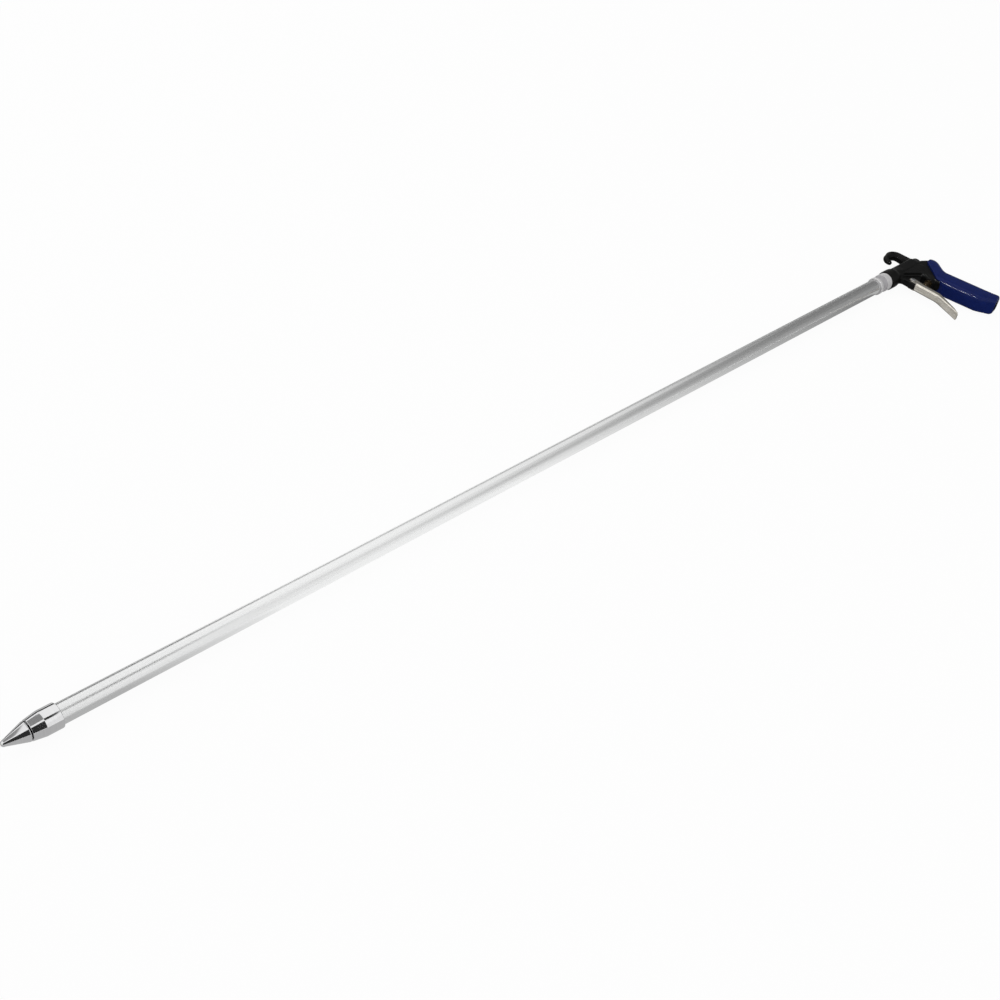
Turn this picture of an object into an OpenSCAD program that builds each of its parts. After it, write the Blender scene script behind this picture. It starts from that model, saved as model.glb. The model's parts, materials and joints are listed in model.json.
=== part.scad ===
// Long-reach compressed-air blow gun lying on its side.
// The tube runs along X with the nozzle at the -X end, the grip hangs towards -Y, the hook stands towards +Y.
// X = 0 is the barrel's front face and Z = 0 is the surface that its boss lies on. Lengths are millimetres.

/* [Tube] */
// Length of the extension tube, 48 inches
tube_length = 1219.2; // [600:0.1:1900]
// Outside diameter of the extension tube, 3/4 inch
tube_od = 19.05; // [17:0.05:21]
// Wall of the extension tube
tube_wall = 1.65; // [1.2:0.05:2]
// Length of the tube held in the nozzle collar
tube_hold = 17.7; // [16:0.1:19]

/* [Barrel] */
// Diameter of the boss round the barrel's mouth
boss_d = 24.7; // [24:0.1:28]
// Length of the boss
boss_length = 14; // [12:0.5:16]
// Length over which the boss narrows to the barrel
boss_taper = 5; // [3:0.5:7]
// Diameter of the barrel behind the boss
barrel_d = 21.6; // [21:0.1:23]
// Length of the barrel between its front and rear faces
barrel_length = 66; // [62:0.5:72]
// Distance behind the front face where the barrel's flat sides begin
flat_set = 20; // [18:0.5:24]
// Length over which the flat sides reach their full depth
flat_run = 12; // [8:0.5:16]
// Diameter of the air bore along the barrel
air_bore_d = 12; // [10:0.1:13]

/* [Rear bushing] */
// Length of the bushing that shows ahead of the barrel
bushing_length = 24.5; // [20:0.5:30]
// Wall of the bushing around the tube
bushing_wall = 1.68; // [1.4:0.02:2.2]
// Web of the bushing between the tube's end and the barrel's face
bushing_web = 2.5; // [2:0.1:4]
// Diameter of the bushing's threaded spigot
spigot_d = 16.4; // [15:0.1:17]
// Length of the bushing's threaded spigot
spigot_length = 15; // [10:0.5:18]

/* [Nozzle] */
// Wall of the nozzle collar around the tube
collar_wall = 2.03; // [1.8:0.01:2.6]
// Length of the collar's straight part
collar_straight = 15.5; // [14:0.5:17]
// Length of the collar's tapered front
collar_taper = 12; // [9:0.5:15]
// Drop in radius over the collar's taper
taper_drop = 1.95; // [1.7:0.05:2.6]
// Wall of the collar's front lip
lip_wall = 1.1; // [0.9:0.05:1.4]
// Width of the air slot between the lip and the cone
slot_width = 1.3; // [0.8:0.1:1.8]
// Length of the cone ahead of the slot
cone_length = 23.2; // [18:0.1:28]
// Radius of the cone's round tip
cone_tip_r = 3; // [2.4:0.1:3.4]
// Thickness of the perforated disc that holds the cone
spider_thickness = 3; // [2:0.1:3.4]
// Diameter of the cone's threaded shank
shank_d = 5; // [4:0.1:5.6]
// Width across the flats of the nut on the shank
nut_flats = 8; // [7.4:0.1:9]
// Thickness of the nut on the shank
nut_thickness = 4; // [3:0.1:5]

/* [Rear plug] */
// Diameter of the plug's head at the back of the barrel
plug_head_d = 18.4; // [17:0.1:20]
// Length of the plug's head
plug_head_length = 6.5; // [5:0.1:8]
// Diameter of the plug's thread
plug_thread_d = 14.3; // [13.4:0.1:15]
// Length of the plug's thread
plug_thread_length = 10; // [7:0.5:11]

/* [Hook] */
// Distance of the hook's stem behind the barrel's front face
hook_set = 66; // [64:0.5:67]
// Height of the straight stem above the barrel's axis
hook_stem = 24; // [21:0.5:27]
// Radius of the hook's two bends along their middle
hook_bend = 8.5; // [7.5:0.1:10]
// Straight run between the two bends
hook_run = 5; // [4:0.5:9]
// Radius of the bar at the stem
hook_bar_r = 6; // [5.2:0.1:6.5]
// Radius of the bar past the run
hook_tip_bar_r = 3; // [2.7:0.1:4]
// Radius of the rounded tip
hook_tip_r = 2.5; // [2:0.1:2.6]

/* [Trigger] */
// Distance of the trigger pivot behind the barrel's front face
pivot_set = 27.3; // [25:0.1:30]
// Distance of the trigger pivot below the barrel's underside
pivot_below = 12.7; // [11.5:0.1:14]
// Outside width of the channel-shaped trigger
trigger_width = 11.2; // [10.4:0.1:13]
// Sheet thickness of the trigger
trigger_sheet = 1.2; // [1:0.05:1.5]
// Radius of the ears around the pivot
ear_r = 4.3; // [3.6:0.1:4.8]
// Distance of the pressing face ahead of the pivot
face_lead = 4.8; // [4.4:0.1:5.6]
// Distance of the rib's front ahead of the pivot
rib_lead = 6.6; // [6:0.1:7.2]
// Radius of the hollow between the rib and the barrel
rib_fillet = 5; // [3:0.5:6]
// Distance from the pivot down to the top of the pressing face
face_top = 7.5; // [7:0.1:8.5]
// Distance from the pivot down to the bend
bend_drop = 40; // [34:0.5:46]
// Distance that the bend lies behind the top of the pressing face
bend_back = 2; // [0:0.1:3]
// Distance from the pivot down to the trigger's end
end_drop = 78.5; // [66:0.5:90]
// Distance that the end kicks forward of the bend
end_kick = 12.5; // [8:0.5:15]
// Depth of the side flanges down to the bend
flange_depth = 6.5; // [5.5:0.1:8]
// Depth of the side flanges at the end
flange_end = 3.2; // [2.6:0.1:4.5]
// Diameter of the pivot pin
pin_d = 4; // [3:0.1:4.6]
// Thickness of the pin's head
pin_head = 1; // [0.8:0.1:1.6]
// Thickness of the clip on the pin
clip_thickness = 0.7; // [0.5:0.05:1]

/* [Valve] */
// Distance of the valve's axis below the trigger pivot
valve_arm = 12.5; // [12:0.1:13.2]
// Diameter of the valve stem
stem_d = 4; // [3.4:0.1:4.4]
// Diameter of the bush's thread
bush_d = 10; // [9.4:0.1:10.6]
// Length of the bush's thread
bush_length = 10.4; // [9:0.1:11]
// Width across the flats of the bush's head
bush_flats = 9.4; // [9:0.1:9.8]
// Thickness of the bush's head
bush_head = 3.4; // [2.6:0.1:4]
// Length of the round nose ahead of the bush's head
bush_nose = 8; // [6:0.1:9]
// Diameter of the bush's nose
bush_nose_d = 7; // [6.4:0.1:7.6]
// Diameter of the air chamber inside the bush
bush_chamber_d = 7.2; // [6.4:0.1:7.6]
// Diameter of the four side ports in the bush
port_d = 3; // [2.4:0.1:3.2]
// Diameter of the outlet passage up to the barrel
outlet_d = 6; // [5:0.1:6.4]
// Diameter of the poppet
poppet_d = 8.8; // [8.2:0.1:9.2]
// Thickness of the poppet
poppet_thickness = 2.4; // [1.8:0.1:2.8]
// Thickness of the poppet's rubber washer
washer_thickness = 1.2; // [0.8:0.1:1.6]
// Length of the spring with the trigger at rest
spring_length = 7.8; // [7:0.1:8.2]
// Diameter of the spring's wire
spring_wire = 0.8; // [0.6:0.05:0.9]
// Diameter of the spring along the middle of its wire
spring_d = 6; // [5.4:0.1:6.8]
// Turns of the spring
spring_turns = 4; // [3:0.5:4]

/* [Grip] */
// Distance behind the barrel's front face where the grip's line meets the barrel's axis
grip_set = 54.8; // [53:0.1:57]
// Lean of the grip, in degrees
grip_lean = 11.4; // [8:0.1:14]
// Distance along the grip from the barrel's axis to its end
grip_end = 120.5; // [110:0.5:130]
// Depth of the grip from front to back
grip_depth = 28.8; // [28:0.1:32]
// Width of the grip
grip_width = 23.3; // [22.4:0.1:24.4]
// Wall of the grip sleeve
sleeve_wall = 2.8; // [2.4:0.1:3.1]
// Corner radius of the core inside the sleeve
core_corner = 5; // [4:0.5:6]
// Where the sleeve's slanted top edge crosses the grip's line
seam_drop = 30.5; // [30:0.5:31]
// Slant of the sleeve's top edge, in degrees
seam_slant = 39; // [37:0.5:39.5]
// Distance along the grip to the foot of the scoop in the sleeve's front, below the valve
scoop_drop = 50.5; // [49:0.5:52]
// Radius of the scoop in the sleeve's front
scoop_r = 17; // [16:0.5:19]
// How far the horn stands out behind the grip's back
horn_reach = 19; // [14:0.5:22]
// Distance along the grip to the horn's rear point
horn_drop = 20.8; // [19:0.1:23]
// Height of the horn above its rear point
horn_round = 6; // [5:0.1:7]
// Length along the grip over which the horn runs out
horn_run = 25.6; // [20:0.1:30]
// Length along the grip of the rounded slant that cuts its end off at the front
front_cut_length = 22; // [18:0.5:23]
// Depth across the grip of that slant
front_cut_depth = 11; // [10:0.5:12]
// Rounding of the grip's end at the back
back_round = 3; // [2:0.1:5]
// Rounding of the grip's end at the sides
side_round = 4; // [3:0.1:6]

/* [Inlet] */
// Diameter of the inlet's tapped hole, for a 1/4 inch pipe thread
inlet_d = 11.1; // [10:0.1:11.6]
// Depth of the inlet's tapped hole
inlet_depth = 14; // [11:0.5:17]
// Diameter of the boss around the inlet
inlet_boss_d = 14.6; // [14.4:0.1:15]
// How far the inlet lies behind the middle of the grip
inlet_set = 4; // [3.6:0.1:4.1]
// Length of the boss around the inlet
inlet_boss_length = 19; // [17:0.5:22]
// Diameter of the air passage up the grip
passage_d = 8; // [6.5:0.1:8.4]
// Diameter of the screen across the inlet
screen_d = 9.2; // [8.8:0.1:9.8]
// Thickness of the screen
screen_thickness = 1; // [0.6:0.1:1.4]

/* [Fits] */
// Radial clearance of a threaded or seated fit
seat_fit = 0.05; // [0.02:0.01:0.08]
// Radial clearance of a running fit
running_fit = 0.06; // [0.03:0.01:0.09]
// Side clearance between pieces that move past each other
side_gap = 0.3; // [0.2:0.05:0.4]

/* [Hidden] */
boss_r = boss_d / 2;
axis_z = boss_r;
barrel_r = barrel_d / 2;
tube_r = tube_od / 2;
tube_bore_r = tube_r - tube_wall;
air_bore_r = air_bore_d / 2;
plug_end = barrel_length - plug_thread_length;
tail_clear = barrel_length + 4 * plug_head_length;
round_fn = 64;

// Stations of the tube and nozzle along X
tube_rear = -bushing_web;
tube_front = tube_rear - tube_length;
cone_step = 0.4;
bushing_front = -bushing_length;
bushing_r = tube_r + bushing_wall;
collar_rear = tube_front + tube_hold;
collar_edge = collar_rear - collar_straight;
collar_front = collar_edge - collar_taper;
collar_r = tube_r + collar_wall;
lip_r = collar_r - taper_drop;
outlet_r = lip_r - lip_wall;
cone_base = collar_front - slot_width;
cone_tip = cone_base - cone_length;
cone_r = lip_r - cone_step;
spider_front = tube_front - spider_thickness;
shank_r = shank_d / 2;
spacer_r = nut_flats / 2 + cone_step;
seal_width = 1.8;
seal_wall = 0.85;
washer_web = 1;
seal_band = 2;
seal_slack = 0.1;
port_groove = 1.2;

// Trigger pivot and valve axis, as distances below the barrel's axis
pivot_x = pivot_set;
pivot_y = -(barrel_r + pivot_below);
valve_y = pivot_y - valve_arm;
rib_half = trigger_width / 2 - trigger_sheet - side_gap;
rib_front = pivot_x - rib_lead;
rib_bottom = pivot_y - face_top + 1;
face_x = pivot_x - face_lead;
face_y = pivot_y - face_top;
bend_x = face_x + bend_back;
bend_y = pivot_y - bend_drop;
end_x = bend_x - end_kick;
end_y = pivot_y - end_drop;
clip_groove_r = pin_d / 2 - 0.5;

// Grip frame: the grip's own X runs backwards across it and its -Y runs down it
grip_x = grip_set;
grip_half = grip_depth / 2;
grip_side = grip_width / 2;
core_half = grip_half - sleeve_wall;
core_side = grip_side - sleeve_wall;
core_end = grip_end - inlet_boss_length;
side_step = 0.3;
scoop_set = 1;
// How square the slant at the grip's end is: 1 is a flat chamfer and 2 a quarter ellipse
cut_power = 1.15;

// Stations of the valve along X: the bush seats on a round boss that stands out of the core's front
bush_corner_r = bush_flats / sqrt(3);
valve_boss_r = bush_corner_r + 1.2;
valve_proud = 0.6;
valve_drop = -valve_y;
core_face_x = grip_x - core_half / cos(grip_lean);
spot_x = core_face_x + (valve_drop - valve_boss_r) * tan(grip_lean) - valve_proud;
bush_inner = spot_x + bush_length;
port_x = spot_x + bush_length * 0.4;
port_land = 0.6;
bush_wall_x = port_x - port_d / 2 - port_land;
stem_seal_x = bush_wall_x - seal_width - port_land;
poppet_x = bush_inner + washer_thickness;
spring_x = poppet_x + poppet_thickness;
chamber_end = spring_x + spring_length;
stem_gap = 0.15;
stem_tip = face_x + (face_top - valve_arm) / (face_top - bend_drop) * bend_back
    + trigger_sheet / cos(atan2(bend_back, bend_drop - face_top)) + stem_gap;

// Stations of the inlet along the grip
screen_seat = 3.5;
screen_drop = grip_end - inlet_depth - screen_seat;
screen_bore_r = screen_d / 2 + seat_fit;
passage_top = (valve_drop + bush_d / 4) / cos(grip_lean);

// A turned piece on the barrel's axis: its outline gives [radius, X]
module turned() {
    translate([0, 0, axis_z]) rotate([0, 90, 0]) rotate_extrude($fn = round_fn) children();
}

// The same on the valve's axis
module turned_valve() {
    translate([0, valve_y, 0]) turned() children();
}

// A turned ring between two radii and two stations
module ring_outline(inner_r, outer_r, start, stop) {
    translate([inner_r, start]) square([outer_r - inner_r, stop - start]);
}

// A plate with the given outline, centred on the barrel's axis
module plate(thickness) {
    translate([0, 0, axis_z]) linear_extrude(thickness, center = true) children();
}

// Places its children in the grip's frame
module on_grip() {
    translate([grip_x, 0, axis_z]) rotate([0, 0, grip_lean]) children();
}

// Sweeps a section of the grip along the grip's line
module along_grip(start, stop) {
    on_grip() translate([0, -start, 0]) rotate([90, 0, 0]) linear_extrude(stop - start) children();
}

// A round bar or hole along the inlet's line, which runs down the grip
module inlet_round(radius, start, stop) {
    on_grip() translate([inlet_set, -start, 0]) rotate([90, 0, 0])
        cylinder(h = stop - start, r = radius, $fn = round_fn);
}

// Rectangle with round corners, centred
module rounded(half_x, half_y, corner) {
    square([2 * half_x, 2 * (half_y - corner)], center = true);
    square([2 * (half_x - corner), 2 * half_y], center = true);
    for (x = [-1, 1], y = [-1, 1])
        translate([x * (half_x - corner), y * (half_y - corner)]) circle(corner, $fn = round_fn);
}

// Everything on the grip's side of the sleeve's slanted top edge
module below_seam() {
    far = 200;
    on_grip() linear_extrude(far, center = true)
        polygon([[-far, -far * tan(seam_slant) - seam_drop], [far, far * tan(seam_slant) - seam_drop],
            [far, -3 * far], [-far, -3 * far]]);
}

// Hanging hook: a round bar that rises, bends forward over a short run and turns down to a round tip
module hook() {
    root = barrel_r / 2;
    root_flare = 1;
    tip_drop = hook_tip_bar_r / 2;
    tip_sink = 0.3;
    translate([hook_set, 0, axis_z]) {
        translate([0, root, 0]) rotate([-90, 0, 0])
            cylinder(h = hook_stem - root, r1 = hook_bar_r + root_flare, r2 = hook_bar_r, $fn = round_fn);
        translate([-hook_bend, hook_stem, 0]) rotate_extrude(angle = 90, $fn = round_fn)
            translate([hook_bend, 0]) circle(hook_bar_r, $fn = round_fn);
        translate([-hook_bend, hook_stem + hook_bend, 0]) rotate([0, -90, 0])
            cylinder(h = hook_run, r1 = hook_bar_r, r2 = hook_tip_bar_r, $fn = round_fn);
        translate([-hook_bend - hook_run, hook_stem, 0]) rotate([0, 0, 90])
            rotate_extrude(angle = 90, $fn = round_fn)
                translate([hook_bend, 0]) circle(hook_tip_bar_r, $fn = round_fn);
        translate([-2 * hook_bend - hook_run, hook_stem, 0]) rotate([90, 0, 0])
            cylinder(h = tip_drop, r1 = hook_tip_bar_r, r2 = hook_tip_r, $fn = round_fn);
        translate([-2 * hook_bend - hook_run, hook_stem - tip_drop + tip_sink, 0])
            sphere(hook_tip_r, $fn = round_fn);
    }
}

// Barrel with the thicker boss round its mouth and flat sides towards the grip
module barrel() {
    far = 200;
    flat_half = core_side + side_step;
    difference() {
        turned() polygon([[0, 0], [boss_r, 0], [boss_r, boss_length], [barrel_r, boss_length + boss_taper],
            [barrel_r, barrel_length], [0, barrel_length]]);
        for (side = [0, 1])
            translate([0, 0, axis_z]) mirror([0, 0, side]) rotate([90, 0, 0])
                linear_extrude(far, center = true)
                    polygon([[flat_set, barrel_r], [flat_set + flat_run, flat_half], [far, flat_half],
                        [far, boss_d], [flat_set, boss_d]]);
    }
}

// Flat-sided web between the barrel and the grip, seen from the side, with the tail that runs to the horn
module web_outline() {
    front = flat_set + flat_run / 2;
    under = barrel_r * 0.75;
    core_front = grip_x - core_half;
    tail_end = grip_x + grip_depth;
    polygon([[front, 0], [front, -under], [core_front + core_corner, -barrel_d], [grip_x, -seam_drop],
        [tail_end, -seam_drop], [tail_end, -barrel_r], [barrel_length + core_corner, -barrel_r + under],
        [barrel_length, 0]]);
}

// Thin rib under the barrel that the trigger's ears straddle, hollowed where it meets the barrel
module rib_outline() {
    polygon([[rib_front, 0], [rib_front, rib_bottom], [pivot_x + ear_r, rib_bottom], [grip_x, -barrel_d],
        [grip_x, 0]]);
    difference() {
        translate([rib_front - rib_fillet, -barrel_r - rib_fillet]) square([rib_fillet + 1, 2 * rib_fillet]);
        translate([rib_front - rib_fillet, -barrel_r - rib_fillet]) circle(rib_fillet, $fn = round_fn);
    }
}

module body_solid() {
    barrel();
    difference() {
        plate(2 * (core_side - side_step)) web_outline();
        below_seam();
    }
    plate(2 * rib_half) rib_outline();
    along_grip(0, core_end) rounded(core_half, core_side, core_corner);
    turned_valve() ring_outline(0, valve_boss_r, spot_x, bush_inner);
    inlet_round(inlet_boss_d / 2, core_end - 5, grip_end);
    hook();
}

module gun_body() {
    color([0.11, 0.11, 0.12]) difference() {
        body_solid();
        // Thread for the bushing, with the seat of its seal
        turned() ring_outline(0, spigot_d / 2 + seat_fit, -1, spigot_length + 2);
        turned() ring_outline(0, spigot_d / 2 + seal_band, -1, washer_web);
        // Air bore and the plug's thread, with room for the plug's head
        turned() ring_outline(0, air_bore_r, 0, barrel_length + 1);
        turned() ring_outline(0, plug_thread_d / 2 + seat_fit, plug_end - 1, barrel_length + 1);
        turned() ring_outline(0, plug_head_d / 2 + side_gap, barrel_length, tail_clear);
        // Valve bore, the groove round the bush's ports and the passage up to the barrel
        turned_valve() ring_outline(0, bush_d / 2 + seat_fit, spot_x - 1, chamber_end);
        turned_valve() ring_outline(0, bush_d / 2 + port_groove, port_x - port_d / 2, port_x + port_d / 2);
        translate([port_x, valve_y, axis_z]) rotate([-90, 0, 0])
            cylinder(h = -valve_y, d = outlet_d, $fn = round_fn);
        // Air passage up the grip, the screen's seat and the tapped inlet
        inlet_round(passage_d / 2, passage_top, grip_end + 1);
        inlet_round(screen_bore_r, screen_drop, grip_end + 1);
        inlet_round(inlet_d / 2, grip_end - inlet_depth, grip_end + 1);
        // Hole for the trigger's pin
        translate([pivot_x, pivot_y, axis_z])
            cylinder(h = 4 * rib_half, d = pin_d + 2 * seat_fit, center = true, $fn = round_fn);
    }
}

// Outline of the grip at a distance t along it: where its front and back lie and its half width
function end_round(t, radius) = t > grip_end - radius
    ? radius * (1 - sqrt(max(0, 1 - pow((t - grip_end + radius) / radius, 2)))) : 0;
function horn_top(t) = 0.76 * horn_round * (1 - sqrt(max(0, 1 - pow((horn_drop - t) / horn_round, 2))));
function horn_fade(t) = horn_reach * (1 + cos(180 * (t - horn_drop) / horn_run)) / 2;
function horn(t) = t < horn_drop ? horn_reach - horn_top(t) : t < horn_drop + horn_run ? horn_fade(t) : 0;
function end_cut(q) = 1 - pow(1 - pow(min(1, max(0, q)), cut_power), 1 / cut_power);
function grip_front(t) = -grip_half + front_cut_depth * end_cut((t - grip_end) / front_cut_length + 1);
function grip_back(t) = grip_half + horn(t) - end_round(t, back_round);
function grip_wide(t) = grip_side - end_round(t, side_round);

// Closed skin over rounded sections of the grip; power sets how square the sections are
module grip_skin() {
    sides = 36;
    power = 4.3;
    top = horn_drop - horn_round;
    horn_length = horn_round + horn_run;
    steps = 16;
    upper = [for (i = [0 : steps]) top + horn_length * i / steps];
    lower = [for (i = [0 : steps]) grip_end - front_cut_length * (1 - sin(90 * i / steps))];
    stations = concat(upper, lower);
    function bulge(v) = sign(v) * pow(abs(v), 2 / power);
    points = [for (t = stations, k = [0 : sides - 1])
        let (middle = (grip_front(t) + grip_back(t)) / 2, half = (grip_back(t) - grip_front(t)) / 2)
        [middle + half * bulge(cos(360 * k / sides)), -t, grip_wide(t) * bulge(sin(360 * k / sides))]];
    last = len(stations) - 1;
    walls = [for (i = [0 : last - 1], k = [0 : sides - 1])
        let (a = i * sides + k, b = i * sides + (k + 1) % sides)
        each [[a, b, b + sides], [a, b + sides, a + sides]]];
    caps = [[for (k = [sides - 1 : -1 : 0]) k], [for (k = [0 : sides - 1]) last * sides + k]];
    on_grip() polyhedron(points, concat(walls, caps));
}

module grip_sleeve() {
    color([0.1, 0.16, 0.45]) difference() {
        intersection() {
            grip_skin();
            below_seam();
        }
        along_grip(0, core_end + seat_fit) rounded(core_half + seat_fit, core_side + seat_fit, core_corner);
        inlet_round(inlet_boss_d / 2 + seat_fit, core_end - 1, grip_end + 1);
        on_grip() translate([-core_half - scoop_set, scoop_r - scoop_drop, 0]) rotate([0, -90, 0])
            cylinder(h = grip_depth, r = scoop_r, $fn = round_fn);
    }
}

// Side view of the trigger's flanges and face together
module trigger_outline() {
    polygon([[face_x, face_y], [bend_x, bend_y], [end_x, end_y], [end_x + flange_end, end_y - 1],
        [bend_x + flange_depth, bend_y], [face_x + flange_depth + 1, pivot_y - face_top * 2],
        [pivot_x + ear_r, pivot_y], [pivot_x - ear_r, pivot_y]]);
    translate([pivot_x, pivot_y]) circle(ear_r, $fn = round_fn);
}

// What is taken out between the flanges: all but a sheet's thickness behind the pressing face
module trigger_hollow() {
    sheet = trigger_sheet / cos(atan2(end_kick, end_drop - bend_drop));
    far = 40;
    polygon([[face_x - far, face_y], [face_x + trigger_sheet, face_y], [bend_x + trigger_sheet, bend_y],
        [end_x + sheet, end_y], [end_x + sheet, end_y - far], [bend_x + far, end_y - far],
        [bend_x + far, pivot_y + far], [face_x - far, pivot_y + far]]);
}

module trigger_lever() {
    color([0.78, 0.75, 0.7]) difference() {
        plate(trigger_width) trigger_outline();
        plate(trigger_width - 2 * trigger_sheet) trigger_hollow();
        translate([pivot_x, pivot_y, axis_z])
            cylinder(h = 2 * trigger_width, d = pin_d + 2 * running_fit, center = true, $fn = round_fn);
    }
}

// Pivot pin with a head above the upper ear and a groove for the clip below the lower one
module trigger_pin() {
    ear_face = trigger_width / 2 + side_gap / 2;
    pin_tail = 0.8;
    color([0.7, 0.7, 0.72]) translate([pivot_x, pivot_y, axis_z]) difference() {
        union() {
            translate([0, 0, -ear_face - clip_thickness - pin_tail])
                cylinder(h = 2 * ear_face + clip_thickness + pin_tail, d = pin_d, $fn = round_fn);
            translate([0, 0, ear_face]) cylinder(h = pin_head, r = pin_d / 2 + 1, $fn = round_fn);
        }
        translate([0, 0, -ear_face - clip_thickness]) rotate_extrude($fn = round_fn)
            translate([clip_groove_r, 0]) square([pin_d, clip_thickness]);
    }
}

module pin_clip() {
    color([0.35, 0.35, 0.37])
        translate([pivot_x, pivot_y, axis_z - trigger_width / 2 - side_gap / 2 - clip_thickness])
            difference() {
                cylinder(h = clip_thickness, r = pin_d / 2 + 1.2, $fn = round_fn);
                translate([0, 0, -1]) cylinder(h = clip_thickness + 2, r = clip_groove_r, $fn = round_fn);
                translate([0, -clip_groove_r, -1]) cube([2 * pin_d, 2 * clip_groove_r, clip_thickness + 2]);
            }
}

// Brass bush that guides the stem and carries the valve's seat at its inner end
module valve_bush() {
    head_x = spot_x - bush_head;
    nose_x = head_x - bush_nose;
    color([0.8, 0.65, 0.3]) difference() {
        union() {
            translate([head_x, valve_y, axis_z]) rotate([0, 90, 0])
                cylinder(h = bush_head, r = bush_corner_r, $fn = 6);
            turned_valve() ring_outline(0, bush_nose_d / 2, nose_x, head_x + 1);
            turned_valve() ring_outline(0, bush_d / 2, spot_x - 1, bush_inner);
        }
        turned_valve() ring_outline(0, stem_d / 2 + running_fit, nose_x - 1, bush_inner + 1);
        turned_valve() ring_outline(0, bush_chamber_d / 2, bush_wall_x, bush_inner + 1);
        turned_valve() ring_outline(0, stem_d / 2 + seal_wall, stem_seal_x, stem_seal_x + seal_width);
        turned_valve() ring_outline(bush_d / 2 - seal_wall, bush_d, spot_x, spot_x + seal_width);
        for (turn = [0, 90])
            translate([port_x, valve_y, axis_z]) rotate([turn, 0, 0])
                cylinder(h = 2 * bush_d, d = port_d, center = true, $fn = round_fn);
    }
}

module bush_seal() {
    color([0.12, 0.12, 0.12]) turned_valve() ring_outline(bush_d / 2 - seal_wall, bush_d / 2 + seat_fit / 2,
        spot_x + seal_slack, spot_x + seal_width - seal_slack);
}

// Stem with its poppet and the tail that centres the spring
module valve_stem() {
    nose = stem_d / 2;
    color([0.72, 0.72, 0.74]) turned_valve() {
        ring_outline(0, stem_d / 2, stem_tip + nose, poppet_x);
        ring_outline(0, poppet_d / 2, poppet_x, spring_x);
        ring_outline(0, spring_d / 2 - spring_wire, spring_x, spring_x + spring_length / 3);
        intersection() {
            translate([0, stem_tip + nose]) circle(nose, $fn = round_fn);
            ring_outline(0, nose, stem_tip, stem_tip + nose);
        }
    }
}

module stem_seal() {
    color([0.12, 0.12, 0.12]) turned_valve() ring_outline(stem_d / 2 + running_fit, stem_d / 2 + seal_wall,
        stem_seal_x + seal_slack, stem_seal_x + seal_width - seal_slack);
}

module poppet_washer() {
    rim = 0.2;
    color([0.12, 0.12, 0.12]) turned_valve()
        ring_outline(stem_d / 2, poppet_d / 2 - rim, bush_inner, poppet_x);
}

// Return spring: one wire wound from the poppet's back to the end of the chamber
module valve_spring() {
    sides = 6;
    rings_a_turn = 12;
    steps = spring_turns * rings_a_turn;
    wire_r = spring_wire / 2;
    coil_r = spring_d / 2;
    rise = (spring_length - spring_wire) / spring_turns;
    echo(str("Least gap between the spring's turns: ", rise - spring_wire, " mm"));
    points = [for (i = [0 : steps], k = [0 : sides - 1])
        let (turn = 360 * i / rings_a_turn, r = coil_r + wire_r * cos(360 * k / sides))
        [wire_r + rise * i / rings_a_turn + wire_r * sin(360 * k / sides), r * cos(turn), r * sin(turn)]];
    walls = [for (i = [0 : steps - 1], k = [0 : sides - 1])
        let (a = i * sides + k, b = i * sides + (k + 1) % sides)
        each [[a, b, b + sides], [a, b + sides, a + sides]]];
    caps = [[for (k = [sides - 1 : -1 : 0]) k], [for (k = [0 : sides - 1]) steps * sides + k]];
    color([0.75, 0.75, 0.77]) translate([spring_x, valve_y, axis_z]) polyhedron(points, concat(walls, caps));
}

// Screwed plug that closes the back of the barrel, with a hexagon socket in its head
module rear_plug() {
    seat = barrel_length + washer_web;
    head_end = seat + plug_head_length;
    bevel = 2;
    socket_depth = plug_head_length * 0.6;
    socket_r = plug_head_d * 0.22;
    color([0.12, 0.12, 0.13]) difference() {
        turned() {
            ring_outline(0, plug_thread_d / 2, plug_end, seat);
            polygon([[0, seat], [plug_head_d / 2, seat], [plug_head_d / 2, head_end - bevel],
                [plug_head_d / 2 - bevel, head_end], [0, head_end]]);
        }
        translate([head_end - socket_depth, 0, axis_z]) rotate([0, 90, 0])
            cylinder(h = plug_head_length, r = socket_r, $fn = 6);
    }
}

module plug_seal() {
    color([0.12, 0.12, 0.12]) turned()
        ring_outline(plug_thread_d / 2 + seat_fit, plug_head_d / 2 - seal_slack,
            barrel_length, barrel_length + washer_web);
}

// Bushing between the barrel and the tube, with a bevelled front rim and a shallow line round it
module rear_bushing() {
    bevel = 0.8;
    groove_x = bushing_front + 3;
    line_depth = 0.3;
    seal_x = bushing_front + bushing_length / 2;
    color([0.86, 0.86, 0.87]) turned() difference() {
        union() {
            polygon([[0, bushing_front], [bushing_r - bevel, bushing_front], [bushing_r, bushing_front + bevel],
                [bushing_r, 0], [0, 0]]);
            ring_outline(0, spigot_d / 2, -1, spigot_length);
        }
        ring_outline(0, air_bore_r, bushing_front - 1, spigot_length + 1);
        ring_outline(0, tube_r + seat_fit, bushing_front - 1, tube_rear);
        ring_outline(0, tube_r + seal_wall + seat_fit, seal_x, seal_x + seal_width + 2 * seal_slack);
        ring_outline(bushing_r - line_depth, bushing_r + 1, groove_x, groove_x + 2 * line_depth);
    }
}

module bushing_seal() {
    color([0.12, 0.12, 0.12]) turned()
        ring_outline(spigot_d / 2 + seat_fit, spigot_d / 2 + seal_band - seat_fit, 0, washer_web);
}

// Square-cut ring round the tube
module tube_seal(start) {
    color([0.12, 0.12, 0.12]) turned()
        ring_outline(tube_r + seat_fit / 2, tube_r + seal_wall,
            start + seal_slack, start + seal_width + seal_slack);
}

module rear_tube_seal() {
    tube_seal(bushing_front + bushing_length / 2);
}

module extension_tube() {
    color([0.77, 0.78, 0.79]) turned() ring_outline(tube_bore_r, tube_r, tube_front, tube_rear);
}

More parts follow.
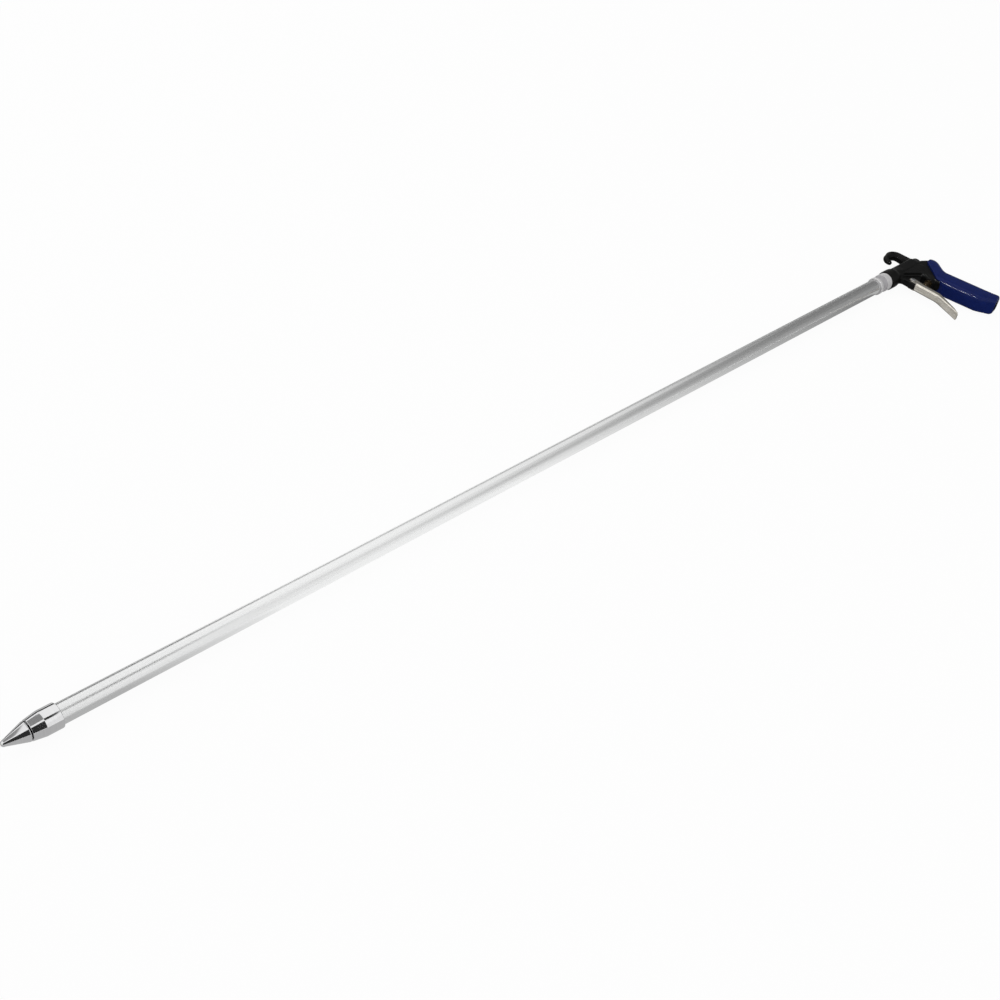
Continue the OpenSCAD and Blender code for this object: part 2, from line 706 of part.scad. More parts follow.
// Nozzle collar: a straight sleeve on the tube, a tapered front and a lip round the air slot
module nozzle_collar() {
    bevel = 0.6;
    seal_x = collar_rear - tube_hold / 2;
    color([0.82, 0.82, 0.83]) turned() difference() {
        polygon([[0, collar_rear], [collar_r - bevel, collar_rear], [collar_r, collar_rear - bevel],
            [collar_r, collar_edge], [lip_r, collar_front], [0, collar_front]]);
        ring_outline(0, tube_r + seat_fit, spider_front, collar_rear + 1);
        ring_outline(0, outlet_r, collar_front - 1, spider_front + 1);
        ring_outline(0, tube_r + seal_wall + seat_fit, seal_x, seal_x + seal_width + 2 * seal_slack);
    }
}

module front_tube_seal() {
    tube_seal(collar_rear - tube_hold / 2);
}

// Perforated disc held between the tube's end and the collar's shoulder
module nozzle_spider() {
    hole_ring = (spacer_r + outlet_r) / 2;
    hole_r = (outlet_r - spacer_r) / 2 - cone_step / 2;
    color([0.8, 0.8, 0.81]) difference() {
        turned() ring_outline(shank_r + seat_fit, tube_r, spider_front, tube_front);
        for (turn = [0 : 60 : 300])
            translate([spider_front - 1, 0, axis_z]) rotate([turn, 0, 0]) translate([0, hole_ring, 0])
                rotate([0, 90, 0]) cylinder(h = spider_thickness + 2, r = hole_r, $fn = round_fn);
    }
}

// Cone with a round tip, a spacer that sets the air slot and a threaded shank
module nozzle_cone() {
    tip_x = cone_tip + cone_tip_r;
    slope = atan2(cone_r - cone_tip_r, cone_base - tip_x);
    touch_x = tip_x - cone_tip_r * sin(slope);
    touch_r = cone_tip_r * cos(slope);
    land = 0.6;
    shank_tail = 1.5;
    color([0.84, 0.84, 0.85]) turned() {
        polygon([[0, touch_x], [touch_r, touch_x], [cone_r, cone_base - land],
            [cone_r, cone_base], [0, cone_base]]);
        ring_outline(0, spacer_r, cone_base - 1, spider_front);
        ring_outline(0, shank_r, spider_front - 1, tube_front + nut_thickness + shank_tail);
        intersection() {
            translate([0, tip_x]) circle(cone_tip_r, $fn = round_fn);
            ring_outline(0, cone_r, cone_tip - 1, tip_x);
        }
    }
}

module cone_nut() {
    color([0.75, 0.75, 0.77]) translate([tube_front, 0, axis_z]) rotate([0, 90, 0]) difference() {
        cylinder(h = nut_thickness, r = nut_flats / sqrt(3), $fn = 6);
        translate([0, 0, -1]) cylinder(h = nut_thickness + 2, r = shank_r + seat_fit, $fn = round_fn);
    }
}

// Perforated disc across the inlet
module inlet_screen() {
    hole_r = screen_d / 13;
    hole_ring = screen_d / 3.6;
    color([0.8, 0.66, 0.32]) difference() {
        inlet_round(screen_d / 2, screen_drop, screen_drop + screen_thickness);
        inlet_round(hole_r, screen_drop - 1, screen_drop + screen_thickness + 1);
        for (turn = [0 : 60 : 300])
            on_grip() translate([inlet_set + hole_ring * cos(turn), -screen_drop + 1, hole_ring * sin(turn)])
                rotate([90, 0, 0]) cylinder(h = screen_thickness + 2, r = hole_r, $fn = round_fn);
    }
}

// Split ring that holds the screen on its seat
module screen_ring() {
    start = screen_drop + screen_thickness;
    ring_wall = 0.8;
    split = 1;
    color([0.7, 0.7, 0.72]) difference() {
        inlet_round(screen_d / 2, start, start + screen_thickness);
        inlet_round(screen_d / 2 - ring_wall, start - 1, start + screen_thickness + 1);
        on_grip() translate([inlet_set, -start - screen_thickness - 1, -split / 2])
            cube([screen_d, screen_thickness + 2, split]);
    }
}

gun_body();
grip_sleeve();
trigger_lever();
trigger_pin();
pin_clip();
valve_bush();
bush_seal();
valve_stem();
stem_seal();
poppet_washer();
valve_spring();
rear_plug();
plug_seal();
rear_bushing();
bushing_seal();
rear_tube_seal();
extension_tube();
nozzle_collar();
front_tube_seal();
nozzle_spider();
nozzle_cone();
cone_nut();
inlet_screen();
screen_ring();
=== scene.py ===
# %% [markdown]
# # Dressing a long-reach air blow gun
# The real object is a pistol air gun with a black casting, a blue sleeve on its grip and a pressed lever.
# A bright tube over a metre long carries the air to a turned cone nozzle. The CAD model gives every
# place and size. Here each visible piece becomes a smooth surface worked out with numpy, and gets a
# finish made of shader nodes.

import json
from math import radians

import bmesh
import bpy
import numpy as np
from mathutils import Matrix, Vector


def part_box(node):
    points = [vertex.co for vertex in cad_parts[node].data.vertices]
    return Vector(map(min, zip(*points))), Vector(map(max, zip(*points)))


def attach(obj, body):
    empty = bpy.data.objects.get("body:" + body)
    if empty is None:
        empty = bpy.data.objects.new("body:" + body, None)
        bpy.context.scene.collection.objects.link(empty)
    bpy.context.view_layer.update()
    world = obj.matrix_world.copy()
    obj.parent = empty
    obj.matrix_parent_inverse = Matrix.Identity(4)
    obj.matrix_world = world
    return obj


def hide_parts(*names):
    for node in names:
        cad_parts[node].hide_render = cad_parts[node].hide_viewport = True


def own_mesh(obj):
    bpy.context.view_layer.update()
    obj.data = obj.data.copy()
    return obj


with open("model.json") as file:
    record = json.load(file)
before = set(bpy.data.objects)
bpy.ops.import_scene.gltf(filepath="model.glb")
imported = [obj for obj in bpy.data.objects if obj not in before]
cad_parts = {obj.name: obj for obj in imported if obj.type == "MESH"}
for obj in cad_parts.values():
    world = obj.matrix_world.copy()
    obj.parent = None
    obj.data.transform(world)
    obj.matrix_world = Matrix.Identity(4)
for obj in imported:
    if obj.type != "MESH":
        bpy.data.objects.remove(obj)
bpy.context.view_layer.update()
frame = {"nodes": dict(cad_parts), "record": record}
MM = 0.001
AXIS_Z = 12.35

# %% [markdown]
# ## The camera
# The photograph looks down along the tube from the nozzle's end, so the nozzle looms and the gun is
# small. The camera's place was solved from the edges of the tube. It could be aimed by a constraint,
# but a look-at matrix takes a roll as well: the camera's own -Z axis looks at the target, and its X axis
# turns about that line.

# %% Set the camera
CAMERA_MM = Vector((-1624.6, -745.6, 1001.75))
TARGET_MM = Vector((-715.36, -19.18, 12.97))
ROLL = radians(10.94)
LENS_MM, SENSOR_MM = 55.11, 36
NEAREST_M, FARTHEST_M = 0.05, 60

forward = (TARGET_MM - CAMERA_MM).normalized()
level = forward.cross(Vector((0, 0, 1))).normalized()
upright = level.cross(forward)
right = level * np.cos(ROLL) + upright * np.sin(ROLL)
up = upright * np.cos(ROLL) - level * np.sin(ROLL)
camera_data = bpy.data.cameras.new("photo_camera")
camera_data.lens, camera_data.sensor_width = LENS_MM, SENSOR_MM
camera_data.clip_start, camera_data.clip_end = NEAREST_M, FARTHEST_M
camera = bpy.data.objects.new("photo_camera", camera_data)
camera_turn = Matrix((right, up, -forward)).transposed().to_4x4()
camera.matrix_world = Matrix.Translation(CAMERA_MM * MM) @ camera_turn
bpy.context.scene.collection.objects.link(camera)
bpy.context.scene.camera = camera
print("camera stands", round((TARGET_MM - CAMERA_MM).length * MM, 2), "m from its target")

# %% [markdown]
# ## From a grid of points to a mesh
# Every surface below is a function of two parameters, sampled on a grid of rows and columns. One
# helper turns any such grid into a mesh: it numbers the points, joins neighbours into quads, closes
# poles by merging points that fall together, and turns all faces outwards.

# %% Grids become meshes
MERGE_M, FLAT_EDGE_M = 1e-6, 1e-7
SHARP_DEGREES = 32


def grid_mesh(name, grid, wrap_rows=False, keep=None):
    """Mesh of a grid (rows, columns, 3) in millimetres; columns close round unless keep masks the quads.

    Each quad joins point (i, j) to (i, j + 1), (i + 1, j + 1) and (i + 1, j). A point with no quad goes."""
    rows, columns = grid.shape[:2]
    index = np.arange(rows * columns).reshape(rows, columns)
    below = np.roll(index, -1, axis=0) if wrap_rows else index[1:]
    above = index if wrap_rows else index[:-1]
    if keep is None:
        quads = np.stack([above, np.roll(above, -1, 1), np.roll(below, -1, 1), below], -1).reshape(-1, 4)
    else:
        quads = np.stack([above[:, :-1], above[:, 1:], below[:, 1:], below[:, :-1]], -1)[keep]
    used, numbers = np.unique(quads, return_inverse=True)
    return point_mesh(name, grid.reshape(-1, 3)[used], numbers.reshape(-1, 4).tolist())


def point_mesh(name, points, faces):
    """Object from points in millimetres and lists of faces, with its place in its mesh."""
    mesh = bpy.data.meshes.new(name)
    mesh.from_pydata((points * MM).tolist(), [], faces)
    tidy_mesh(mesh, SHARP_DEGREES)
    piece = bpy.data.objects.new(name, mesh)
    bpy.context.scene.collection.objects.link(piece)
    return piece


def tidy_mesh(mesh, sharp):
    """Merges points that fall together, turns the faces outwards and shades them smooth."""
    work = bmesh.new()
    work.from_mesh(mesh)
    bmesh.ops.remove_doubles(work, verts=work.verts, dist=MERGE_M)
    bmesh.ops.dissolve_degenerate(work, edges=work.edges, dist=FLAT_EDGE_M)
    bmesh.ops.recalc_face_normals(work, faces=work.faces)
    work.to_mesh(mesh)
    work.free()
    shade_smooth(mesh, sharp)


def shade_smooth(mesh, sharp):
    """Shades a mesh smooth, and keeps the edges sharp that are steeper than an angle in degrees."""
    mesh.polygons.foreach_set("use_smooth", np.ones(len(mesh.polygons), bool))
    mesh.set_sharp_from_angle(angle=radians(sharp))


dressed = {}


def dress(piece, body, node, slot):
    """Lets a piece ride on a body, stand for a CAD node and take a finish of the record."""
    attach(piece, body)
    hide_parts(node)
    dressed[piece] = slot
    print(f"{piece.name}: {len(piece.data.vertices)} points, {len(piece.data.polygons)} faces")


print("grid helpers ready; edges above", SHARP_DEGREES, "degrees stay sharp")

# %% [markdown]
# ## Turned surfaces
# Lathe work is one outline spun about an axis. Blender's Screw modifier could spin it, but a formula
# gives every row its exact place and lets the radius change with the angle. A sharp CAD corner never
# catches the light, so soften() breaks each edge of the outline first.

# %% Outlines and their turning
SIDE_SHARE, CURVE_STEPS, TURNED_COLUMNS = 0.45, 6, 144
ALONG_X = np.array([[1, 0, 0], [0, 1, 0], [0, 0, 1]], float)


def soften(corners, radius):
    """Rounds the inner corners of an open outline: each becomes a quadratic curve from a point before the
    corner to a point after it, both the radius away, or less where a side is short."""
    p = np.asarray(corners, float)
    before, after = p[1:-1] - p[:-2], p[2:] - p[1:-1]
    size_before = np.linalg.norm(before, axis=1, keepdims=True)
    size_after = np.linalg.norm(after, axis=1, keepdims=True)
    reach = np.minimum(np.reshape(radius, (-1, 1)), SIDE_SHARE * np.minimum(size_before, size_after))
    start, stop = p[1:-1] - before / size_before * reach, p[1:-1] + after / size_after * reach
    q = np.linspace(0, 1, CURVE_STEPS)[None, :, None]
    curve = (1 - q) ** 2 * start[:, None] + 2 * q * (1 - q) * p[1:-1, None] + q**2 * stop[:, None]
    return np.concatenate([p[:1], curve.reshape(-1, 2), p[-1:]])


def ring_outline(points, radius):
    """Closes an outline of (h, r) into a loop whose corners are all softened."""
    p = np.asarray(points, float)
    middle = (p[:1] + p[-1:]) / 2
    return soften(np.concatenate([middle, p, middle]), radius)[:-1]


def turned_grid(outline, centre, axes=ALONG_X, columns=TURNED_COLUMNS, shape=None):
    """Surface of revolution: the point at distance h along the axis and radius r, turned by an angle.

    outline holds rows of (h, r). shape, where given, changes the radius from h, r and the angle."""
    angle = np.linspace(0, 2 * np.pi, columns, endpoint=False)[None]
    h, r = outline[:, :1], np.repeat(outline[:, 1:], columns, 1)
    if shape:
        r = shape(h, r, angle)
    spokes = np.cos(angle)[..., None] * axes[1] + np.sin(angle)[..., None] * axes[2]
    return np.asarray(centre, float) + h[..., None] * axes[0] + r[..., None] * spokes


print("outlines are turned in", TURNED_COLUMNS, "columns")

# %% [markdown]
# ## The tube and the bushing
# The tube is drawn aluminium, the same all along, so four softened corners make its whole section. The
# bushing that screws it to the barrel has a front rim and a shallow band between two steps. The steps
# are real geometry, because a bump would leave its outline straight.

# %% Tube and bushing
ON_AXIS = (0, 0, AXIS_Z)
TUBE_R, TUBE_BORE, TUBE_FRONT, TUBE_REAR = 9.525, 7.875, -1221.7, -2.5
SEAT_R = TUBE_R + 0.05
tube_outline = ring_outline([
    (TUBE_FRONT, TUBE_BORE), (TUBE_FRONT, TUBE_R), (TUBE_REAR, TUBE_R), (TUBE_REAR, TUBE_BORE)], 0.3)
tube = grid_mesh("tube", turned_grid(tube_outline, ON_AXIS), wrap_rows=True)
dress(tube, "gun", "extension_tube", "tube_aluminium")

BUSHING_FRONT, BUSHING_R, BUSHING_CHAMFER = -24.5, 11.205, 0.7
RIM_END, BAND_START, BAND_STEP = BUSHING_FRONT + 4.2, BUSHING_FRONT + 14.0, 0.4
BAND_R = BUSHING_R - 0.45
SPIGOT_R, SPIGOT_BORE, SPIGOT_END = 8.2, 6, 15
bushing_outline = ring_outline([
    (BUSHING_FRONT, SEAT_R), (BUSHING_FRONT, BUSHING_R - BUSHING_CHAMFER),
    (BUSHING_FRONT + BUSHING_CHAMFER, BUSHING_R), (RIM_END, BUSHING_R), (RIM_END + BAND_STEP, BAND_R),
    (BAND_START - BAND_STEP, BAND_R), (BAND_START, BUSHING_R), (-1.2, BUSHING_R), (-0.1, BUSHING_R - 0.5),
    (0, SPIGOT_R), (SPIGOT_END, SPIGOT_R), (SPIGOT_END, SPIGOT_BORE), (TUBE_REAR, SPIGOT_BORE),
    (TUBE_REAR, SEAT_R)], 0.25)
bushing = grid_mesh("tube_bushing", turned_grid(bushing_outline, ON_AXIS), wrap_rows=True)
dress(bushing, "gun", "rear_bushing", "bushing_aluminium")

# %% [markdown]
# ## The nozzle
# Air leaves through a thin slot between a tapered collar and a cone with a round tip. The cone could be
# a primitive, but its tip would come to a point. Here a quarter circle runs into the straight flank, and
# the back carries on as the shank that the spider holds.

# %% Collar and cone
COLLAR_REAR, COLLAR_EDGE, COLLAR_FRONT, SPIDER_FACE = -1204.0, -1219.5, -1231.5, -1224.7
COLLAR_R, COLLAR_CHAMFER, LIP_R, OUTLET_R = 11.555, 0.6, 9.605, 8.505
collar_outline = ring_outline([
    (COLLAR_FRONT, OUTLET_R), (COLLAR_FRONT, LIP_R), (COLLAR_EDGE, COLLAR_R),
    (COLLAR_REAR - COLLAR_CHAMFER, COLLAR_R), (COLLAR_REAR, COLLAR_R - COLLAR_CHAMFER),
    (COLLAR_REAR, SEAT_R), (SPIDER_FACE, SEAT_R), (SPIDER_FACE, OUTLET_R)], 0.35)
collar = grid_mesh("nozzle_collar_turned", turned_grid(collar_outline, ON_AXIS), wrap_rows=True)
dress(collar, "gun", "nozzle_collar", "nozzle_aluminium")

CONE_BASE, CONE_TIP, CONE_R, TIP_R = -1232.8, -1256.0, 9.205, 3.0
SHANK_R, STUD_R, STUD_END = 4.4, 2.5, -1216.2
tip_angle = np.linspace(0, np.pi / 2, 14)
tip_arc = np.stack([CONE_TIP + TIP_R * (1 - np.cos(tip_angle)), TIP_R * np.sin(tip_angle)], -1)
cone_back = soften([
    (CONE_TIP + TIP_R, TIP_R), (CONE_BASE - 0.6, CONE_R), (CONE_BASE, CONE_R), (CONE_BASE, SHANK_R),
    (SPIDER_FACE, SHANK_R), (SPIDER_FACE, STUD_R), (STUD_END, STUD_R), (STUD_END, 0)], 0.3)
cone = grid_mesh("nozzle_cone_turned", turned_grid(np.concatenate([tip_arc, cone_back[1:]]), ON_AXIS))
dress(cone, "gun", "nozzle_cone", "nozzle_aluminium")

# %% [markdown]
# ## The plug, the pivot pin and the valve's bush
# A black plug closes the back of the barrel, a steel pin carries the lever and a brass bush guides the
# valve. The plug's socket and the bush's head are hexagons. They could be cut by booleans, but here the
# radius is a function of both parameters: it is limited by the hexagon in that direction.

# %% Plug and pin
PLUG_FRONT, PLUG_SEAT, PLUG_END, PLUG_CHAMFER = 56, 67.0, 73.5, 2
PLUG_R, PLUG_HEAD_R = 7.15, 9.2
SOCKET_FLATS, SOCKET_R, SOCKET_MOUTH_R = 7.0, 4.05, 4.2
SOCKET_FLOOR = PLUG_END - 3.9


def hexagon(angle, flats):
    """Radius of a hexagon with the given width across its flats, in the direction of an angle."""
    sixth = np.pi / 3
    return flats / 2 / np.cos((angle + sixth / 2) % sixth - sixth / 2)


def socket_wall(h, r, angle):
    """Inside the socket's radius, the wall follows the hexagon."""
    inside = (h > PLUG_SEAT - 1) & (r < SOCKET_MOUTH_R)
    return np.where(inside, r / SOCKET_R * hexagon(angle, SOCKET_FLATS), r)


plug_outline = soften([
    (PLUG_FRONT, 0), (PLUG_FRONT, PLUG_R), (PLUG_SEAT, PLUG_R), (PLUG_SEAT, PLUG_HEAD_R),
    (PLUG_END - PLUG_CHAMFER, PLUG_HEAD_R), (PLUG_END, PLUG_HEAD_R - PLUG_CHAMFER), (PLUG_END, 4.6),
    (PLUG_END, SOCKET_R), (SOCKET_FLOOR, SOCKET_R), (SOCKET_FLOOR, 0)], 0.3)
plug = grid_mesh("barrel_plug", turned_grid(plug_outline, ON_AXIS, shape=socket_wall))
dress(plug, "gun", "rear_plug", "plug_black")

PIVOT = np.array([27.3, -23.5, AXIS_Z])
PIN_R, PIN_HEAD_R, PIN_GROOVE_R, EAR_FACE = 2, 3, 1.5, 5.75
ALONG_Z = np.array([[0, 0, 1], [1, 0, 0], [0, 1, 0]], float)
pin_outline = soften([
    (-7.25, 0), (-7.25, 1.7), (-6.95, PIN_R), (-6.45, PIN_R), (-6.45, PIN_GROOVE_R),
    (-EAR_FACE, PIN_GROOVE_R), (-EAR_FACE, PIN_R), (EAR_FACE, PIN_R), (EAR_FACE, PIN_HEAD_R),
    (6.45, PIN_HEAD_R), (6.75, 2.2), (6.75, 0)], 0.2)
pin = grid_mesh("pivot_pin", turned_grid(pin_outline, PIVOT, ALONG_Z, columns=64))
dress(pin, "gun", "trigger_pin", "steel")

# %% The valve's bush
VALVE = (0, -36, AXIS_Z)
SPOT_X = 48.29
HEAD_X, NOSE_X, BUSH_INNER = SPOT_X - 3.4, SPOT_X - 11.4, SPOT_X + 10.4
STEM_BORE, NOSE_R, GROOVE_R, GROOVE_END, BUSH_R = 2.06, 3.5, 4.15, SPOT_X + 1.8, 5
HEAD_FLATS, HEAD_CORNER_R = 9.4, 5.43


def hexagon_head(h, r, angle):
    """The head is a hexagon, chamfered where a cone cuts its corners."""
    head = (h > HEAD_X - 0.01) & (h < SPOT_X + 0.01) & (r > NOSE_R + 0.1)
    return np.where(head, np.minimum(hexagon(angle, HEAD_FLATS), r), r)


bush_outline = ring_outline([
    (NOSE_X, STEM_BORE), (NOSE_X, NOSE_R - 0.4), (NOSE_X + 0.4, NOSE_R), (HEAD_X, NOSE_R), (HEAD_X, 4.9),
    (HEAD_X + 0.5, HEAD_CORNER_R), (SPOT_X, HEAD_CORNER_R), (SPOT_X, GROOVE_R), (GROOVE_END, GROOVE_R),
    (GROOVE_END, BUSH_R), (BUSH_INNER, BUSH_R), (BUSH_INNER, STEM_BORE)], 0.15)
bush_grid = turned_grid(bush_outline, VALVE, columns=120, shape=hexagon_head)
bush = grid_mesh("valve_bush_turned", bush_grid, wrap_rows=True)
dress(bush, "gun", "valve_bush", "brass")

# %% [markdown]
# ## The valve's return spring
# Behind the valve one steel wire is wound into a coil that pushes the lever back. A curve with a bevel
# could make it, but a small circle carried along a helix keeps the grid even and closes both ends. When
# the lever is pulled the coil gets shorter.

# %% The wound spring
WIRE_R, COIL_R, TURNS = 0.4, 3.0, 4
TURN_ROWS, WIRE_COLUMNS = 36, 12
spring_start, spring_end = (corner[0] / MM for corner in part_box("valve_spring"))
wound = np.linspace(0, 2 * np.pi * TURNS, TURN_ROWS * TURNS + 1)[:, None]
wire_angle = np.linspace(0, 2 * np.pi, WIRE_COLUMNS, endpoint=False)[None]
wire_x = np.interp(wound, [0, wound[-1, 0]], [spring_start + WIRE_R, spring_end - WIRE_R])
coil_x = wire_x + WIRE_R * np.sin(wire_angle)
coil_r = COIL_R + WIRE_R * np.cos(wire_angle)
coil = np.stack([coil_x, VALVE[1] + coil_r * np.cos(wound), AXIS_Z + coil_r * np.sin(wound)], -1)
wire_ends = np.repeat(coil[[0, -1]].mean(1, keepdims=True), WIRE_COLUMNS, 1)
spring = grid_mesh("wound_spring", np.concatenate([wire_ends[:1], coil, wire_ends[1:]]))
dress(spring, "gun", "valve_spring", "steel")

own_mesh(spring)

# %% [markdown]
# ## The forms of the black casting
# The body is one casting: barrel, web, rib, core of the grip and hanging hook flow into each other with
# soft fillets. Modelling those fillets by hand would need dozens of patches. Instead each form is first
# computed as its own closed surface: a turned barrel with flats on its sides, slabs of a side outline,
# plain rods, and the rounded core that the sleeve is pushed on to.

# %% Slabs, rods and the grip's own frame
GRIP_X, LEAN, GRIP_END = 54.8, radians(11.4), 120.5
GRIP_AXES = np.array([[np.sin(LEAN), -np.cos(LEAN), 0], [np.cos(LEAN), np.sin(LEAN), 0], [0, 0, 1]])


def on_grip(u, t, s):
    """Grip frame to millimetres: u runs back across the grip, t down it and s across the gun."""
    x = GRIP_X + u * np.cos(LEAN) + t * np.sin(LEAN)
    y = u * np.sin(LEAN) - t * np.cos(LEAN)
    return np.stack(np.broadcast_arrays(x, y, AXIS_Z + s), -1)


def prism(name, outline, half):
    """Slab of a side outline: every point of the outline at height -half and +half, with flat ends."""
    p = np.asarray(outline, float)
    count = len(p)
    height = np.repeat([AXIS_Z - half, AXIS_Z + half], count)[:, None]
    points = np.concatenate([np.tile(p, (2, 1)), height], 1)
    index = np.arange(count)
    sides = np.stack([index, np.roll(index, -1), np.roll(index, -1) + count, index + count], -1)
    return point_mesh(name, points, sides.tolist() + [index.tolist(), (index + count).tolist()])


def rod(name, radius, start, stop, centre, axes, columns=64):
    """Plain round rod, used as a form of the casting or to cut a bore."""
    outline = np.array([(start, 0), (start, radius), (stop, radius), (stop, 0)], float)
    return grid_mesh(name, turned_grid(outline, centre, axes, columns))


print("the grip leans", round(float(np.degrees(LEAN)), 1), "degrees")

# %% Barrel, web, rib and bosses
BOSS_R, BOSS_END, BARREL_R, BARREL_START, BARREL_END = 12.35, 14, 10.8, 19, 66
FLAT_SET, FLAT_RUN, FLAT_HALF, NO_FLAT = 20.0, 12.0, 9.15, 99
BARREL_ROWS = 120
barrel_outline = soften([(0, 0), (0, BOSS_R), (BOSS_END, BOSS_R), (BARREL_START, BARREL_R),
    (BARREL_END, BARREL_R), (BARREL_END, 0)], [0.8, 3, 3, 0.8])
count = len(barrel_outline)
barrel_rows = np.interp(np.linspace(0, 1, BARREL_ROWS), np.linspace(0, 1, count), np.arange(count))
barrel_outline = np.stack([np.interp(barrel_rows, np.arange(count), c) for c in barrel_outline.T], -1)
barrel_grid = turned_grid(barrel_outline, ON_AXIS)
flat_depth = (barrel_grid[..., 0] - FLAT_SET) / FLAT_RUN * (BARREL_R - FLAT_HALF)
flat_limit = np.maximum(BARREL_R - flat_depth, FLAT_HALF)
flat_limit = np.where(barrel_grid[..., 0] < FLAT_SET, NO_FLAT, flat_limit)
barrel_grid[..., 2] = AXIS_Z + np.clip(barrel_grid[..., 2] - AXIS_Z, -flat_limit, flat_limit)
forms = [grid_mesh("barrel_form", barrel_grid)]

CORE_HALF, CORE_SIDE, CORE_CORNER, CORE_END = 11.6, 8.85, 5.0, 101.5
tail_u, tail_t = np.array([27.5, 20.0, 0.0]), np.array([15.6, 24.0, 33.0])
tail_top, tail_foot, seam_mid = on_grip(tail_u, tail_t, 0.0)[:, :2]
forms.append(prism("web_form", [(26, 0), (26, -8.1), (48.2, -21.6), (GRIP_X, -31), seam_mid, tail_foot,
    tail_top, (71, -2.0), (BARREL_END, 0)], CORE_SIDE - 0.3))

RIB_X, RIB_FILLET, RIB_TOP, RIB_FOOT, RIB_HALF = 15.7, 5, -15.8, -30, 4.1
fillet = np.linspace(np.pi / 2, 0, 9)
rib_curve = zip(RIB_X + RIB_FILLET * np.cos(fillet), RIB_TOP + RIB_FILLET * np.sin(fillet))
forms.append(prism("rib_form", [(GRIP_X, 0), (RIB_X, 0), *rib_curve, (20.7, RIB_FOOT), (31.6, RIB_FOOT),
    (GRIP_X, -21.6)], RIB_HALF))

VALVE_BOSS_R, INLET_SET, INLET_BOSS_R = 6.63, 4.0, 7.3
ON_INLET = on_grip(INLET_SET, 0.0, 0.0)
forms.append(rod("valve_boss_form", VALVE_BOSS_R, SPOT_X, BUSH_INNER, VALVE, ALONG_X))
forms.append(rod("inlet_boss_form", INLET_BOSS_R, CORE_END - 6, GRIP_END, ON_INLET, GRIP_AXES))
print(len(forms), "forms so far")

# %% The core of the grip
corner = np.linspace(0, np.pi / 2, 7)
quarter = np.stack([CORE_HALF - CORE_CORNER + CORE_CORNER * np.cos(corner),
    CORE_SIDE - CORE_CORNER + CORE_CORNER * np.sin(corner)], -1)
section = np.concatenate([quarter, quarter[::-1] * [-1, 1], -quarter, quarter[::-1] * [1, -1]])
pole_rows = np.array([0, 1, 1, 0])[:, None]


def core_bar(name, top, end, grow=1.0):
    """Bar of the core's section from top to end down the grip, with its end faces drawn to a point."""
    rows = np.array([top, top, end, end])[:, None]
    wide = section * grow
    return grid_mesh(name, on_grip(pole_rows * wide[:, 0], rows, pole_rows * wide[:, 1]))


forms.append(core_bar("core_form", 0, CORE_END))
print("the core is", round(2 * CORE_HALF, 1), "by", round(2 * CORE_SIDE, 1), "mm")

# %% [markdown]
# ## The hanging hook
# The hook is a round bar carried along a path: up from the barrel, over one bend, forwards, and down
# round a second bend to its tip. A bevelled curve has one thickness unless each point is tapered by
# hand. Here the radius is a function of the same parameter as the path, and closes as a hemisphere.

# %% The hook's path and bar
STEM_X, STEM_ROOT, STEM_TOP, HOOK_BEND, HOOK_RUN = 66.0, 5, 24.0, 8.5, 5.0
TIP_DROP, TIP_LENGTH, HOOK_TIP_R = 1.2, 2.5, 3.0
STEM_ROWS, TIP_ROWS, HOOK_COLUMNS = 12, 10, 40
turn = np.linspace(0, np.pi / 2, 24)
tip_turn = np.linspace(0, np.pi / 2, TIP_ROWS)
stem = np.stack([np.full(STEM_ROWS, STEM_X), np.linspace(STEM_ROOT, STEM_TOP, STEM_ROWS)], -1)
first_bend = np.stack([STEM_X - HOOK_BEND + HOOK_BEND * np.cos(turn),
    STEM_TOP + HOOK_BEND * np.sin(turn)], -1)
second_bend = np.stack([STEM_X - HOOK_BEND - HOOK_RUN - HOOK_BEND * np.sin(turn),
    STEM_TOP + HOOK_BEND * np.cos(turn)], -1)
tip = np.stack([np.full(TIP_ROWS, STEM_X - 2 * HOOK_BEND - HOOK_RUN),
    STEM_TOP - TIP_DROP - TIP_LENGTH * np.sin(tip_turn)], -1)
hook_path = np.concatenate([stem, first_bend[1:], second_bend, tip])

way = np.concatenate([[0], np.cumsum(np.linalg.norm(np.diff(hook_path, axis=0), axis=1))])
hook_r = np.interp(way, [0, 19, 33, 38, 50, way[-TIP_ROWS]], [7, 6, 6, 4.3, 3.4, HOOK_TIP_R])
hook_r[-TIP_ROWS:] = HOOK_TIP_R * np.cos(tip_turn)
along = np.gradient(hook_path, axis=0)
along /= np.linalg.norm(along, axis=1, keepdims=True)
around = np.linspace(0, 2 * np.pi, HOOK_COLUMNS, endpoint=False)
aside = np.stack([along[:, 1], -along[:, 0]], -1)
hook_xy = hook_path[:, None] + hook_r[:, None, None] * np.cos(around)[None, :, None] * aside[:, None]
hook_z = AXIS_Z + hook_r[:, None] * np.sin(around)
hook_grid = np.concatenate([hook_xy, hook_z[..., None]], -1)
root_cap = np.repeat(hook_grid[:1].mean(1, keepdims=True), HOOK_COLUMNS, 1)
forms.append(grid_mesh("hook_form", np.concatenate([root_cap, hook_grid])))
print("hook path is", round(float(way[-1]), 1), "mm long")

# %% [markdown]
# ## One casting out of many forms
# On the real gun no seam shows between these forms, because they were cast as one. A chain of boolean
# unions would leave hard inner corners. A voxel remesh gives all of them one skin, and smoothing rounds
# every inner and outer corner at once, as a casting's draft does. The bores are cut last and stay crisp.

# %% Fuse the forms and cut the bores
VOXEL_MM, SMOOTH_STEPS, CASTING_SHARP = 0.65, 7, 40


